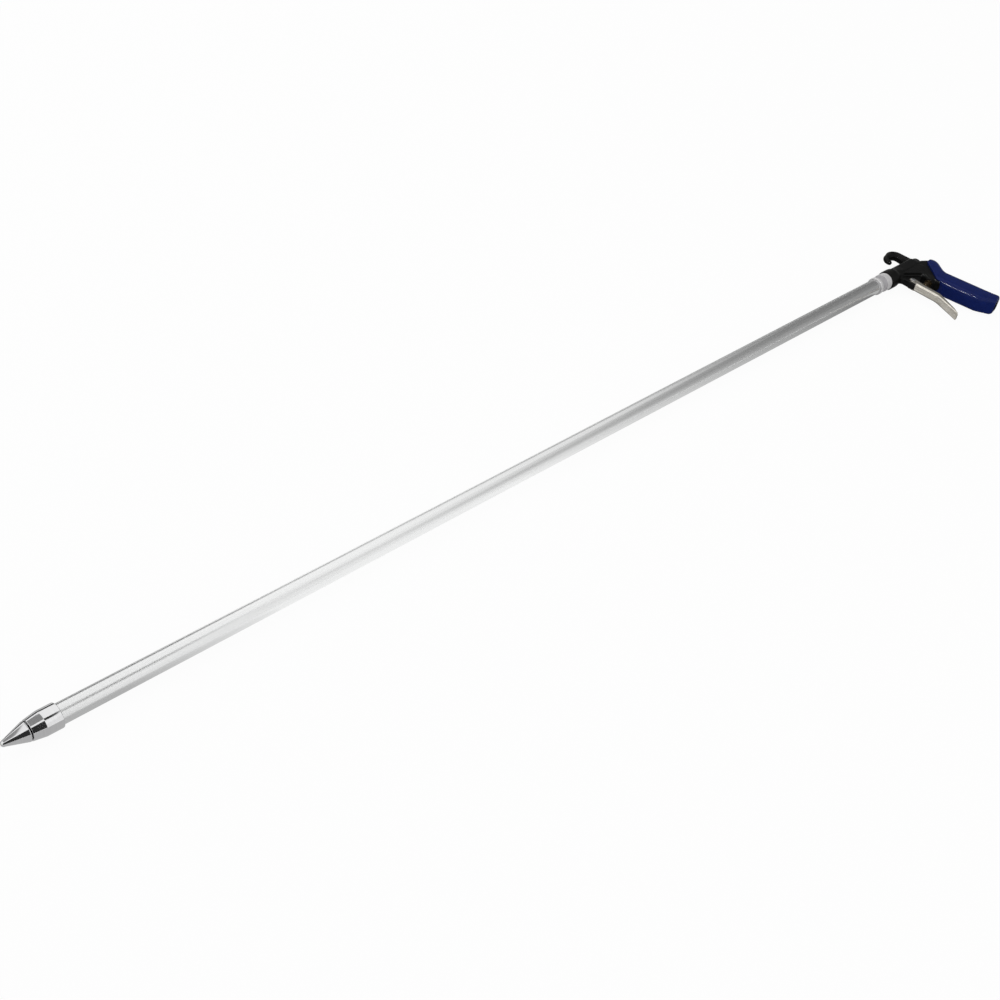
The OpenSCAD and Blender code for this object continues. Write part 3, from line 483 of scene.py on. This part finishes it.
def settled(piece):
    """Puts the result of a piece's modifiers into its mesh and removes them."""
    bpy.context.view_layer.update()
    seen = piece.evaluated_get(bpy.context.evaluated_depsgraph_get())
    result = bpy.data.meshes.new_from_object(seen)
    piece.modifiers.clear()
    piece.data = result


def cut_away(piece, tools):
    """Takes the tools' solids out of a piece, and removes the tools."""
    for tool in tools:
        cut = piece.modifiers.new("cut", "BOOLEAN")
        cut.operation, cut.solver, cut.object = "DIFFERENCE", "EXACT", tool
    settled(piece)
    for tool in tools:
        bpy.data.objects.remove(tool)


casting = forms[0]
casting.name = casting.data.name = "body_casting"
fused = bmesh.new()
for form in forms:
    fused.from_mesh(form.data)
fused.to_mesh(casting.data)
fused.free()
for form in forms[1:]:
    bpy.data.objects.remove(form)
remesh = casting.modifiers.new("fuse", "REMESH")
remesh.mode, remesh.voxel_size = "VOXEL", VOXEL_MM * MM
smooth = casting.modifiers.new("fillets", "SMOOTH")
smooth.factor, smooth.iterations = 0.5, SMOOTH_STEPS
settled(casting)
cut_away(casting, [
    rod("valve_bore", 5.05, SPOT_X - 2, 70.1, VALVE, ALONG_X),
    rod("inlet_bore", 5.55, GRIP_END - 14, GRIP_END + 2, ON_INLET, GRIP_AXES),
    rod("screen_bore", 4.65, GRIP_END - 17.5, GRIP_END - 13, ON_INLET, GRIP_AXES),
    rod("barrel_mouth", 8.25, -2, 17, ON_AXIS, ALONG_X),
    rod("plug_bore", 7.2, 55, 66.5, ON_AXIS, ALONG_X),
    rod("plug_room", 9.4, 66, 90, ON_AXIS, ALONG_X)])
shade_smooth(casting.data, CASTING_SHARP)
dress(casting, "gun", "gun_body", "body_black")

# %% [markdown]
# ## The blue sleeve
# The sleeve is a soft moulding pushed over the core. A subdivided box could be pulled into its shape,
# but its limits are easy to write down. Its section is a superellipse, squarer than an ellipse but with
# no flats. Its front, back and side limits are functions of the distance down the grip, so the horn over
# the hand and the rounded end come out of the same formula.

# %% Limits of the sleeve
GRIP_HALF, GRIP_SIDE, SQUARENESS = 14.4, 11.65, 4.3
HORN_REACH, HORN_DROP, HORN_ROUND, HORN_RUN, HORN_DIP = 19.0, 20.8, 6.0, 25.6, 0.76
FRONT_LENGTH, FRONT_DEPTH, FRONT_POWER = 22.0, 11.0, 1.15
BACK_ROUND, SIDE_ROUND = 3.0, 4.0
LINE_WIDTH, LINE_DEPTHS, LINE_SETS = 0.5, (0.3, 0.22), (9.5, 12)


def end_round(t, radius):
    """How far a quarter circle draws a limit in before the grip's end."""
    q = np.clip((t - GRIP_END + radius) / radius, 0, 1)
    return radius * (1 - np.sqrt(1 - q * q))


def front_cut(t):
    """How far the slant at the end draws the front in: a superellipse's corner, flatter than a circle's."""
    q = np.clip((t - GRIP_END) / FRONT_LENGTH + 1, 0, 1)
    return FRONT_DEPTH * (1 - (1 - q**FRONT_POWER) ** (1 / FRONT_POWER))


def horn(t):
    """Reach of the horn: a rounded top, and below it a half cosine that fades to nothing."""
    over = np.clip((HORN_DROP - t) / HORN_ROUND, 0, 1)
    top = HORN_REACH - HORN_DIP * HORN_ROUND * (1 - np.sqrt(1 - over * over))
    fade = HORN_REACH * (1 + np.cos(np.pi * np.clip((t - HORN_DROP) / HORN_RUN, 0, 1))) / 2
    return np.where(t < HORN_DROP, top, fade)


def rim_lines(t):
    """Two shallow moulded lines round the end of the grip, each a bell curve of the distance to it."""
    first, second = (depth * np.exp(-(((t - GRIP_END + line_set) / LINE_WIDTH) ** 2))
        for depth, line_set in zip(LINE_DEPTHS, LINE_SETS))
    return first + second


def sleeve_at(t, angle, draw_in=0.0):
    """Point of the sleeve at distance t and angle: front and back limits give its middle and half depth."""
    front = -GRIP_HALF + front_cut(t)
    back = GRIP_HALF + horn(t) - end_round(t, BACK_ROUND)
    wide = GRIP_SIDE - end_round(t, SIDE_ROUND)
    shrink = draw_in + rim_lines(t)
    across = np.sign(np.cos(angle)) * np.abs(np.cos(angle)) ** (2 / SQUARENESS)
    aside = np.sign(np.sin(angle)) * np.abs(np.sin(angle)) ** (2 / SQUARENESS)
    return (front + back) / 2 + ((back - front) / 2 - shrink) * across, (wide - shrink) * aside


print("the horn reaches", HORN_REACH, "mm past the grip")

# %% [markdown]
# The sleeve's top edge is slanted and scooped out below the valve. Cutting a straight sleeve with a
# boolean would leave a hard rim. Instead every column of the grid starts where it meets that edge, which
# a few rounds of averaging find, and its first rows roll over a small lip.

# %% The sleeve's edge and surface
SEAM_DROP, SEAM_SLOPE = 30.5, np.tan(radians(39))
SCOOP_DROP, SCOOP_R, SCOOP_SET, SCOOP_BLEND = 50.5, 17.0, 1.0, 1.4
SLEEVE_COLUMNS, CROWDING, EDGE_ROUNDS = 216, 0.155, 90
LIP, END_SPAN, SLEEVE_SHARP = 1.1, 24.0, 38


def seam(u, s):
    """Distance down the grip of the top edge: a straight slant, and in front a scoop below the valve."""
    scoop = SCOOP_DROP - SCOOP_R + np.sqrt(SCOOP_R**2 - s * s)
    share = np.clip((-CORE_HALF - SCOOP_SET + SCOOP_BLEND / 2 - u) / SCOOP_BLEND, 0, 1)
    slant = SEAM_DROP - u * SEAM_SLOPE
    return slant + share * np.maximum(scoop - slant, 0)


def spread(count):
    """Angles that space a superellipse's points evenly enough: they crowd where the section turns."""
    a = np.linspace(0, 2 * np.pi, count, endpoint=False)
    return a - CROWDING * np.sin(4 * a)


angle = spread(SLEEVE_COLUMNS)[None]
highest, lowest = HORN_DROP - HORN_ROUND + 0.6, 70
rim_t = np.full_like(angle, SEAM_DROP)
for _ in range(EDGE_ROUNDS):
    rim_t = 0.8 * rim_t + 0.2 * np.clip(seam(*sleeve_at(rim_t, angle)), highest, lowest)

lip = np.linspace(0, np.pi / 2, 7)[:, None]
lip_t, lip_in = rim_t + LIP * (1 - np.cos(lip)), LIP * (1 - np.sin(lip))
body_t = rim_t + LIP + (GRIP_END - END_SPAN - rim_t - LIP) * np.linspace(0, 1, 90)[1:, None]
end_t = GRIP_END - END_SPAN * (1 - np.sin(np.linspace(0, np.pi / 2, 64)))[1:, None] + 0 * angle
row_t = np.concatenate([lip_t, body_t, end_t])
row_in = np.concatenate([lip_in + 0 * angle, 0 * body_t, 0 * end_t])
sleeve_u, sleeve_s = sleeve_at(row_t, angle, row_in)
sleeve_grid = on_grip(sleeve_u, row_t, sleeve_s)
top_centre, end_centre = on_grip(0.0, SEAM_DROP, 0.0), on_grip(INLET_SET, GRIP_END, 0.0)
top_face = top_centre + (sleeve_grid[:1] - top_centre) * np.linspace(0, 0.92, 8)[:, None, None]
end_face = end_centre + (sleeve_grid[-1:] - end_centre) * np.linspace(0.8, 0, 4)[:, None, None]
sleeve = grid_mesh("grip_sleeve_moulded", np.concatenate([top_face, sleeve_grid, end_face]))
cut_away(sleeve, [core_bar("core_hole", -5, CORE_END + 0.1, grow=1.005),
    rod("boss_hole", INLET_BOSS_R + 0.06, 100, 125, ON_INLET, GRIP_AXES)])
tidy_mesh(sleeve.data, SLEEVE_SHARP)
dress(sleeve, "gun", "grip_sleeve", "grip_blue")

# %% [markdown]
# ## The lever
# The lever is pressed from nickel-plated sheet: a channel whose two flanges end as ears on the pin. It
# could be bent from a flat plane with modifiers, but two side lines say it all: where its face lies and
# where its flanges end, both as functions of the drop below the pin. Near the end the flange rounds off.

# %% Side lines of the lever
EAR_R, SHEET, FOLD_R, END_FOLD_R = 4.3, 1.2, 1.9, 1.2
FACE_TOP, BEND_DROP, END_DROP, ROUND_DROP, LIFT_DROP = 7.5, 40, 78.5, 68, 66
FACE_SET, BEND_SET, END_SET = -4.8, -2.8, -15.3
ABOVE, BEYOND = -50, 130
drop = np.concatenate([-EAR_R * np.cos(np.linspace(0, np.pi / 2, 14)), np.linspace(0.4, FACE_TOP, 12),
    np.linspace(FACE_TOP + 0.5, END_DROP, 110)])


def smooth_path(at, knots, values, blur):
    """Broken line through the knots, averaged over a window, so that its bends become curves."""
    window = np.linspace(-blur, blur, 41)
    return np.interp(at[:, None] + window, knots, values).mean(1)


face_line = smooth_path(drop, [ABOVE, FACE_TOP, BEND_DROP, END_DROP, BEYOND],
    [FACE_SET, FACE_SET, BEND_SET, END_SET, -32], blur=5)
rear_line = smooth_path(drop, [ABOVE, 0, 15, BEND_DROP, 77.5, BEYOND],
    [EAR_R, EAR_R, 2.7, 3.7, -12.1, -31], blur=4)
ear_line = np.sqrt(np.maximum(EAR_R**2 - drop**2, 0))
ear_front = np.where(drop < 0, -ear_line, -EAR_R)
cheek = np.interp(drop, [0, FACE_TOP], [0, 1]) * (face_line + EAR_R) + ear_front
front = np.where(drop < FACE_TOP, cheek, face_line)
front = front + SHEET / 2 * np.clip(drop / FACE_TOP, 0, 1)
rear = np.where(drop < 0, ear_line, rear_line)
bend_r = np.interp(drop, [BEND_DROP, END_DROP], [FOLD_R, END_FOLD_R])
near_end = np.clip((drop - ROUND_DROP) / (END_DROP - ROUND_DROP), 0, 1)
rounded = np.maximum(front + (rear - front) * np.sqrt(1 - near_end**2), front + bend_r + 0.2)
rear = np.where(near_end > 0, rounded, rear)
print("the lever hangs", END_DROP, "mm below its pin")

# %% [markdown]
# One grid covers the whole sheet. Rows go down the lever and columns go from one flange's rear edge,
# round the fold, across the face, to the other flange's rear edge. Above the face the fold's quads are
# left out, so that only the ears remain. Solidify gives the sheet its thickness, Bevel breaks its edges
# and a small hole is drilled near its end.

# %% The pressed sheet
HALF_WIDTH = 5.6 - SHEET / 2
FACE_COLUMNS, REAR_LIFT, CORNER_LIFT = 11, 1.3, 4.0
EDGE_BREAK, LEVER_SHARP = 0.22, 40
fold = np.linspace(0, np.pi / 2, 9)
flange = np.linspace(0, 1, 9)[:-1]
fold_r = np.where((drop >= FACE_TOP)[:, None], bend_r[:, None], 0.0)
flange_x = rear[:, None] + (front[:, None] + fold_r - rear[:, None]) * flange
fold_x = front[:, None] + fold_r * (1 - np.sin(fold))
fold_z = -HALF_WIDTH + fold_r * (1 - np.cos(fold))
half_x = np.concatenate([flange_x, fold_x], 1)
half_z = np.concatenate([np.full_like(flange_x, -HALF_WIDTH), fold_z], 1)
face_z = np.linspace(-1, 1, FACE_COLUMNS + 2)[None, 1:-1] * (HALF_WIDTH - FOLD_R)
sheet_x = np.concatenate([half_x, np.repeat(front[:, None], FACE_COLUMNS, 1), half_x[:, ::-1]], 1)
sheet_z = np.concatenate([half_z, np.repeat(face_z, len(drop), 0), -half_z[:, ::-1]], 1)
to_rear = np.concatenate([1 - flange, np.zeros(FACE_COLUMNS + 2 * len(fold)), 1 - flange[::-1]])
to_corner = np.clip(np.abs(sheet_z[-1]) / HALF_WIDTH - 0.5, 0, 1)
lift = REAR_LIFT * to_rear**2 + CORNER_LIFT * to_corner**2
to_end = np.clip((drop - LIFT_DROP) / (END_DROP - LIFT_DROP), 0, 1)[:, None]
lever_grid = PIVOT + np.stack([sheet_x, lift * to_end**2 - drop[:, None], sheet_z], -1)
column = np.arange(sheet_x.shape[1] - 1)
on_flange = (column < len(flange)) | (column >= len(column) - len(flange))
lever = grid_mesh("pressed_lever", lever_grid, keep=(drop[:-1, None] >= FACE_TOP) | on_flange[None])
thick = lever.modifiers.new("sheet", "SOLIDIFY")
thick.thickness, thick.offset = SHEET * MM, 0
edges = lever.modifiers.new("broken_edges", "BEVEL")
edges.width, edges.segments = EDGE_BREAK * MM, 2
edges.limit_method, edges.angle_limit = "ANGLE", radians(50)
settled(lever)

HOLE_DROP, HOLE_R, HOLE_REACH = 74.0, 0.9, 3
slope = np.arctan2(BEND_SET - END_SET, END_DROP - BEND_DROP)
ACROSS_FACE = np.array([[np.cos(slope), -np.sin(slope), 0], [np.sin(slope), np.cos(slope), 0], [0, 0, 1]])
on_face = PIVOT + (np.interp(HOLE_DROP, drop, front), -HOLE_DROP, 0)
cut_away(lever, [rod("end_hole", HOLE_R, -HOLE_REACH, HOLE_REACH, on_face, ACROSS_FACE, columns=24)])
tidy_mesh(lever.data, LEVER_SHARP)
dress(lever, "trigger", "trigger_lever", "lever_nickel")

# %% [markdown]
# ## Effects that finishes share
# Real surfaces are never one flat colour. Two effects come back on every piece here, so each is a node
# group: grain stretched in one direction, for drawing lines and lathe marks, and blotches left by
# handling. A group only puts out values. The shader, and every value that is the same all over, stays
# in the material.

# %% Shared node groups
def new_group(name, inputs, outputs):
    """Shader node group with the given sockets and its two end nodes."""
    group = bpy.data.node_groups.new(name, "ShaderNodeTree")
    for label, kind, value in inputs:
        socket = group.interface.new_socket(label, in_out="INPUT", socket_type=kind)
        socket.default_value = value
    for label in outputs:
        group.interface.new_socket(label, in_out="OUTPUT", socket_type="NodeSocketFloat")
    return group, group.nodes.new("NodeGroupInput"), group.nodes.new("NodeGroupOutput")


def add_node(tree, kind, group=None, **values):
    """New node of a kind with values for its inputs. In a label, an underscore stands for a space."""
    node = tree.nodes.new("ShaderNode" + kind)
    if group:
        node.node_tree = group
    for label, value in values.items():
        node.inputs[label.replace("_", " ")].default_value = value
    return node


def add_math(tree, kind, operation, *values):
    """Math or vector math node of an operation, with values for the inputs after its first."""
    node = tree.nodes.new("ShaderNode" + kind)
    node.operation = operation
    for place, value in enumerate(values, 1):
        node.inputs[place].default_value = value
    return node


def wire(tree, *links):
    """Links an output of one node to an input of another, each by its label or number."""
    for source, out, target, into in links:
        tree.links.new(source.outputs[out], target.inputs[into])


grain_group, grain_in, grain_out = new_group("stretched_grain", [
    ("Turn", "NodeSocketVector", (0, 0, 0)),
    ("Scale", "NodeSocketVector", (100, 100, 100))], ["Grain", "Broad"])
where = add_node(grain_group, "TexCoord")
spin = add_node(grain_group, "Mapping")
stretch = add_math(grain_group, "VectorMath", "MULTIPLY")
fine = add_node(grain_group, "TexNoise", Scale=1, Detail=4, Roughness=0.62)
broad = add_node(grain_group, "TexNoise", Scale=0.17, Detail=2)
wire(grain_group, (where, "Object", spin, "Vector"), (grain_in, "Turn", spin, "Rotation"),
    (spin, "Vector", stretch, 0), (grain_in, "Scale", stretch, 1), (stretch, "Vector", fine, "Vector"),
    (stretch, "Vector", broad, "Vector"), (fine, "Fac", grain_out, "Grain"),
    (broad, "Fac", grain_out, "Broad"))

marks_group, marks_in, marks_out = new_group("handling_marks", [
    ("Size", "NodeSocketFloat", 60), ("Amount", "NodeSocketFloat", 0.5)], ["Marks"])
spot_where = add_node(marks_group, "TexCoord")
blotch = add_node(marks_group, "TexNoise", Detail=5, Distortion=0.6)
level_out = add_node(marks_group, "MapRange", From_Min=0.42, From_Max=0.72)
wire(marks_group, (spot_where, "Object", blotch, "Vector"), (marks_in, "Size", blotch, "Scale"),
    (blotch, "Fac", level_out, "Value"), (marks_in, "Amount", level_out, "To Max"),
    (level_out, "Result", marks_out, "Marks"))
print("node groups:", [g.name for g in bpy.data.node_groups])

# %% [markdown]
# ## One maker for all finishes
# A finish is two colours mixed by the grain and the blotches, a roughness range, and a bump whose height
# comes from the same grain. Each could be its own node tree, but one function keeps them alike and lets
# the numbers tell them apart: drawn tube has long lines, turned metal has rings round its axis, the
# casting has an even fine grain and the sleeve has a faint moulded skin.

# %% Material maker
BROAD_SHARE, BUMP_STRENGTH = 0.4, 0.6


def colour_mix(tree, blend_type="MIX", **colours):
    """Mix node for colours, blended in the given way."""
    node = tree.nodes.new("ShaderNodeMix")
    node.data_type, node.blend_type = "RGBA", blend_type
    for label, colour in colours.items():
        node.inputs[label].default_value = (*colour, 1)
    return node


def finish(name, light, dark, rough, grain_scale, bump_mm, metallic=0.0, turn=(0, 0, 0), marks=(60, 0.4),
        specular=0.5):
    """Principled material: colour runs from dark to light and roughness over a range, both by the grain."""
    material = bpy.data.materials.new(name)
    material.use_nodes = True
    tree = material.node_tree
    shader = tree.nodes["Principled BSDF"]
    shader.inputs["Metallic"].default_value = metallic
    shader.inputs["Specular IOR Level"].default_value = specular
    grain = add_node(tree, "Group", grain_group, Turn=turn, Scale=grain_scale)
    handled = add_node(tree, "Group", marks_group, Size=marks[0], Amount=marks[1])
    blend = add_node(tree, "Mix", Factor=BROAD_SHARE)
    mix = colour_mix(tree, A=dark, B=light)
    contrast = add_node(tree, "MapRange", From_Min=0.32, From_Max=0.68)
    worn = add_math(tree, "Math", "SUBTRACT")
    worn.use_clamp = True
    roughness = add_node(tree, "MapRange", To_Min=rough[0], To_Max=rough[1])
    bump = add_node(tree, "Bump", Strength=BUMP_STRENGTH, Distance=bump_mm * MM)
    wire(tree, (grain, "Grain", blend, "A"), (grain, "Broad", blend, "B"),
        (blend, "Result", contrast, "Value"), (contrast, "Result", worn, 0), (handled, "Marks", worn, 1),
        (worn, "Value", mix, "Factor"), (mix, "Result", shader, "Base Color"),
        (blend, "Result", roughness, "Value"), (roughness, "Result", shader, "Roughness"),
        (grain, "Grain", bump, "Height"), (bump, "Normal", shader, "Normal"))
    return material


def paint_band_shade(material, start, end, shade):
    """Paints shade on a finish: multiplies its colour by a darker shade where x lies between start and end,
    in mm along the tube.
    """
    tree = material.node_tree
    shader = tree.nodes["Principled BSDF"]
    place, split = add_node(tree, "TexCoord"), add_node(tree, "SeparateXYZ")
    inside = add_math(tree, "Math", "COMPARE", (start + end) / 2 * MM, (end - start) / 2 * MM)
    darker = colour_mix(tree, "MULTIPLY", B=shade)
    mix = shader.inputs["Base Color"].links[0].from_node
    wire(tree, (place, "Object", split, "Vector"), (split, "X", inside, 0),
        (inside, "Value", darker, "Factor"), (mix, "Result", darker, "A"),
        (darker, "Result", shader, "Base Color"))


print("a bump is", BUMP_STRENGTH, "of its full strength")

# %% [markdown]
# ## The finishes
# Each of the record's material slots has one finish. The numbers are colours in linear light, a range of
# roughness, the grain's scale along x, y and z, and the height of its bump in millimetres. The bushing
# is blasted, and the band between its steps has painted shade: its colour is a little darker than its
# rims'.

# %% Finishes by slot
LEVER_TURN = (0, 0, radians(-8))
# colour multiplier for the painted shade in the bushing's recessed band
BAND_PAINTED_SHADE = (0.7, 0.69, 0.71)
finishes = {
    "body_black": finish("satin_black_casting", (0.0050, 0.0050, 0.0048), (0.0022, 0.0022, 0.0021),
        (0.3, 0.44), (1500, 1500, 1500), 0.03, marks=(70, 0.3), specular=0.13),
    "plug_black": finish("black_oxide", (0.008, 0.008, 0.0085), (0.004, 0.004, 0.0042),
        (0.3, 0.45), (4000, 300, 300), 0.02),
    "grip_blue": finish("navy_vinyl", (0.0047, 0.0148, 0.118), (0.0030, 0.0100, 0.087),
        (0.13, 0.19), (900, 900, 900), 0.002, marks=(45, 0.35), specular=0.14),
    "lever_nickel": finish("nickel_plate", (0.97, 0.93, 0.85), (0.64, 0.6, 0.525),
        (0.18, 0.32), (560, 9, 560), 0.012, metallic=1.0, turn=LEVER_TURN, marks=(55, 0.25)),
    "tube_aluminium": finish("drawn_aluminium", (0.93, 0.935, 0.93), (0.82, 0.825, 0.825),
        (0.2, 0.34), (3, 420, 420), 0.015, metallic=1.0, marks=(9, 0.12)),
    "nozzle_aluminium": finish("polished_aluminium", (0.86, 0.86, 0.865), (0.74, 0.74, 0.745),
        (0.06, 0.14), (5200, 60, 60), 0.003, metallic=1.0, marks=(30, 0.2)),
    "bushing_aluminium": finish("bead_blasted_aluminium", (0.74, 0.73, 0.735), (0.56, 0.555, 0.56),
        (0.34, 0.5), (1400, 500, 500), 0.012, metallic=0.15, marks=(160, 0.25)),
    "steel": finish("turned_steel", (0.55, 0.55, 0.56), (0.4, 0.4, 0.41),
        (0.2, 0.35), (900, 900, 900), 0.008, metallic=1.0),
    # the brass is coloured very dark, far darker than plain brass
    "brass": finish("dark_brass", (0.11, 0.078, 0.042), (0.06, 0.042, 0.024),
        (0.3, 0.5), (3000, 120, 120), 0.01, metallic=1.0),
    "rubber_black": finish("black_rubber", (0.022, 0.022, 0.022), (0.012, 0.012, 0.012),
        (0.55, 0.75), (1800, 1800, 1800), 0.03),
}
# painted shade: the bushing's recessed band is coloured darker than its rims
paint_band_shade(finishes["bushing_aluminium"], RIM_END, BAND_START, BAND_PAINTED_SHADE)


def coat(thing, slot):
    """Gives an object the finish of a slot, and no other."""
    thing.data.materials.clear()
    thing.data.materials.append(finishes[slot])


for piece, slot in dressed.items():
    coat(piece, slot)
for part in frame["record"]["subparts"]:
    coat(frame["nodes"][part["node"]], part["material_slot"])
print(len(dressed), "new pieces and", len(frame["nodes"]), "CAD nodes share", len(finishes), "finishes")

# %% [markdown]
# ## The white floor
# The photograph is a studio picture on white. The floor is a plain pale plane that takes the object's
# soft shadow. Stronger lamps would burn the object out, so the white comes from the Light Path node: for
# rays that come from the camera or from a shiny surface, the floor simply is white.

# %% Floor
FLOOR_HALF, FLOOR_Z_MM = 9.0, -0.4
FLOOR_GREY, FLOOR_ROUGH, FLOOR_SHOWN = 0.86, 0.9, 0.95
floor_corners = np.array([(-1, -1), (1, -1), (1, 1), (-1, 1)]) * FLOOR_HALF / MM
floor_points = np.concatenate([floor_corners, np.full((4, 1), FLOOR_Z_MM)], 1)
floor = point_mesh("floor", floor_points, [[0, 1, 2, 3]])


def seen_white(tree, shown):
    """Node whose value is 1 for camera, glossy and transmission rays, times the share of white shown."""
    path = add_node(tree, "LightPath")
    first, second = (add_math(tree, "Math", "MAXIMUM") for _ in range(2))
    share = add_math(tree, "Math", "MULTIPLY", shown)
    wire(tree, (path, "Is Camera Ray", first, 0), (path, "Is Glossy Ray", first, 1),
        (first, "Value", second, 0), (path, "Is Transmission Ray", second, 1), (second, "Value", share, 0))
    return share


def show_white(tree, plain, white, shown, end):
    """Shows the white shader instead of the plain one to the rays that seen_white() names."""
    both = add_node(tree, "MixShader")
    wire(tree, (seen_white(tree, shown), "Value", both, "Fac"), (plain, 0, both, 1), (white, 0, both, 2),
        (both, "Shader", tree.nodes[end], "Surface"))


paper = bpy.data.materials.new("white_paper")
paper.use_nodes = True
matt = paper.node_tree.nodes["Principled BSDF"]
matt.inputs["Base Color"].default_value = (FLOOR_GREY, FLOOR_GREY, FLOOR_GREY, 1)
matt.inputs["Roughness"].default_value = FLOOR_ROUGH
glow = add_node(paper.node_tree, "Emission")
show_white(paper.node_tree, matt, glow, FLOOR_SHOWN, "Material Output")
floor.data.materials.append(paper)
print("floor is", 2 * FLOOR_HALF, "m wide")

# %% [markdown]
# ## Cards for the bright metal
# Bright metal only shows what stands round it. In a studio, grey and black cards out of view give a
# tube its long bands. Painting the bands on would look wrong from any other side. Here each card is a
# flat plane that only shiny surfaces see, and its grey can change evenly along a line, so that no hard
# step shows on the tube.

# %% Card makers
def card(name, corners_m, grey, far_grey=None, line=None):
    """Flat card that only shiny surfaces see: the camera, the shadows and the soft light pass it by.

    Its grey changes evenly to far_grey along a line. Where none is given, that is its first side."""
    board = point_mesh(name, np.asarray(corners_m, float) / MM, [[0, 1, 2, 3]])
    start, stop = (Vector(point) for point in line or corners_m[:2])
    along = (stop - start).normalized()
    board_paint = bpy.data.materials.new(name)
    board_paint.use_nodes = True
    tree = board_paint.node_tree
    where = add_node(tree, "TexCoord")
    reach = add_math(tree, "VectorMath", "DOT_PRODUCT", along)
    grade = add_node(tree, "MapRange", From_Min=start.dot(along), From_Max=stop.dot(along), To_Min=grey,
        To_Max=far_grey or grey)
    shine = add_node(tree, "Emission")
    wire(tree, (where, "Object", reach, 0), (reach, "Value", grade, "Value"),
        (grade, "Result", shine, "Strength"), (shine, "Emission", tree.nodes["Material Output"], "Surface"))
    board.data.materials.append(board_paint)
    board.visible_camera = board.visible_diffuse = board.visible_shadow = False
    board.visible_transmission = board.visible_volume_scatter = False


def level_card(name, x0, x1, y0, y1, z, grey, far_grey=None, line=None):
    """Card that lies level at height z."""
    card(name, [(x0, y0, z), (x1, y0, z), (x1, y1, z), (x0, y1, z)], grey, far_grey, line)


def upright_card(name, x0, x1, z0, z1, y, grey):
    """Card that stands upright at depth y."""
    card(name, [(x0, y, z0), (x1, y, z0), (x1, y, z1), (x0, y, z1)], grey)


print("card makers ready")

# %% Cards above, behind and below, in metres
ROOF, HIGH_ROOF, BACK, LOW, FAR = 1.5, 1.6, 1.6, 0.0001, 60
NEAR_LINE = [(-1.0, -1.12, ROOF), (0.354, 0.325, ROOF)]
BACK_LINE = [(0.69, 0.2, ROOF), (1.09, -0.08, ROOF)]
# name, x from and to, y from and to, height, grey, grey at the far end and the line between them
level_card("roof_grade_card", 0.2, 1.38, -0.8, 0.2, ROOF, 0.88, 0.22)
level_card("roof_end_card", 1.38, FAR, -0.8, 0.2, ROOF, 0.22)
level_card("roof_mid_card", 0.06, 0.85, -1.5, -0.8, ROOF, 0.92, 0.47)
level_card("roof_mid_end_card", 0.85, 2.2, -1.5, -0.8, ROOF, 0.47, 0.3)
level_card("roof_near_card", -0.2, FAR, -FAR, -0.8, ROOF + 0.02, 0.9, 0.3, NEAR_LINE)
level_card("roof_back_card", 0.5, FAR, 0.2, FAR, ROOF + 0.02, 0.9, 0.18, BACK_LINE)
level_card("roof_gap_card", -0.95, -0.55, -0.85, -0.3, ROOF, 0.02)
level_card("nozzle_roof_card", -1.5, -1.0, -0.42, 2.2, HIGH_ROOF, 0.28)
# name, x from and to, height from and to, depth, grey
upright_card("nozzle_side_card", -2.7, -1.1, 0.03, 1.6, -0.9, 0.03)
upright_card("back_card", -3.5, -0.3, 0.0, 0.6, BACK, 0.05)
upright_card("back_rear_card", -0.3, 1.8, 0.0, 0.6, BACK, 0.38)
# just above the floor, for the lower side of the tube, the lever, the grip and the nozzle
level_card("tube_floor_card", -0.65, -0.022, -0.9, 0.9, LOW, 0.95, 0.22)
level_card("lever_floor_card", -0.022, 0.014, -0.3, 0.9, LOW, 0.5)
level_card("grip_floor_card", 0.014, 0.3, -0.4, 0.9, LOW, 0.2)
level_card("nozzle_floor_card", -1.8, -1.14, -0.6, 0.3, LOW, 0.5)
level_card("nozzle_floor_end_card", -1.14, -0.98, -0.6, 0.3, LOW, 0.5, 0.93)

# %% [markdown]
# ## The room and its lamps
# A softbox on each side and an even white room light a white card to about its own colour, so that each
# finish looks as it was written. Shiny surfaces don't see the softboxes: they show the white room and
# the cards. One narrow spot adds the thin highlight along the sleeve's corner.

# %% World and lamps
ROOM_LIGHT = 0.5
world = bpy.data.worlds.new("studio")
bpy.context.scene.world = world
world.use_nodes = True
sky = world.node_tree.nodes["Background"]
white = add_node(world.node_tree, "Background")
sky.inputs["Color"].default_value = white.inputs["Color"].default_value = (1, 1, 1, 1)
sky.inputs["Strength"].default_value = ROOM_LIGHT
show_white(world.node_tree, sky, white, 1.0, "World Output")


def place_lamp(data, place, aim):
    """Lamp object at a place, turned so that its -Z axis points at the aim."""
    light = bpy.data.objects.new(data.name, data)
    direction = Vector(aim) - Vector(place)
    lamp_turn = direction.to_track_quat("-Z", "Y").to_matrix().to_4x4()
    light.matrix_world = Matrix.Translation(Vector(place)) @ lamp_turn
    bpy.context.scene.collection.objects.link(light)
    return light


def softbox(name, place, aim, size, watts):
    """Square soft lamp that faces a point and that shiny surfaces don't see."""
    data = bpy.data.lights.new(name, "AREA")
    data.size, data.energy = size, watts
    place_lamp(data, place, aim).visible_glossy = False


softbox("key_softbox", (-0.6, 1.3, 2.4), (-0.5, 0, 0), size=3.4, watts=32)
softbox("fill_softbox", (-1.4, -2.2, 1.9), (-0.4, 0, 0), size=2.6, watts=16)
spark_data = bpy.data.lights.new("spark_lamp", "SPOT")
spark_data.energy, spark_data.shadow_soft_size = 60, 0.08
spark_data.spot_size, spark_data.spot_blend = radians(7), 0.4
spark = place_lamp(spark_data, (-1.75, 0.0, 1.6), (0.06, -0.06, 0))
spark.visible_diffuse = False
bpy.context.scene.view_settings.view_transform = "Standard"
print(len(bpy.data.lights), "lamps and a white room")
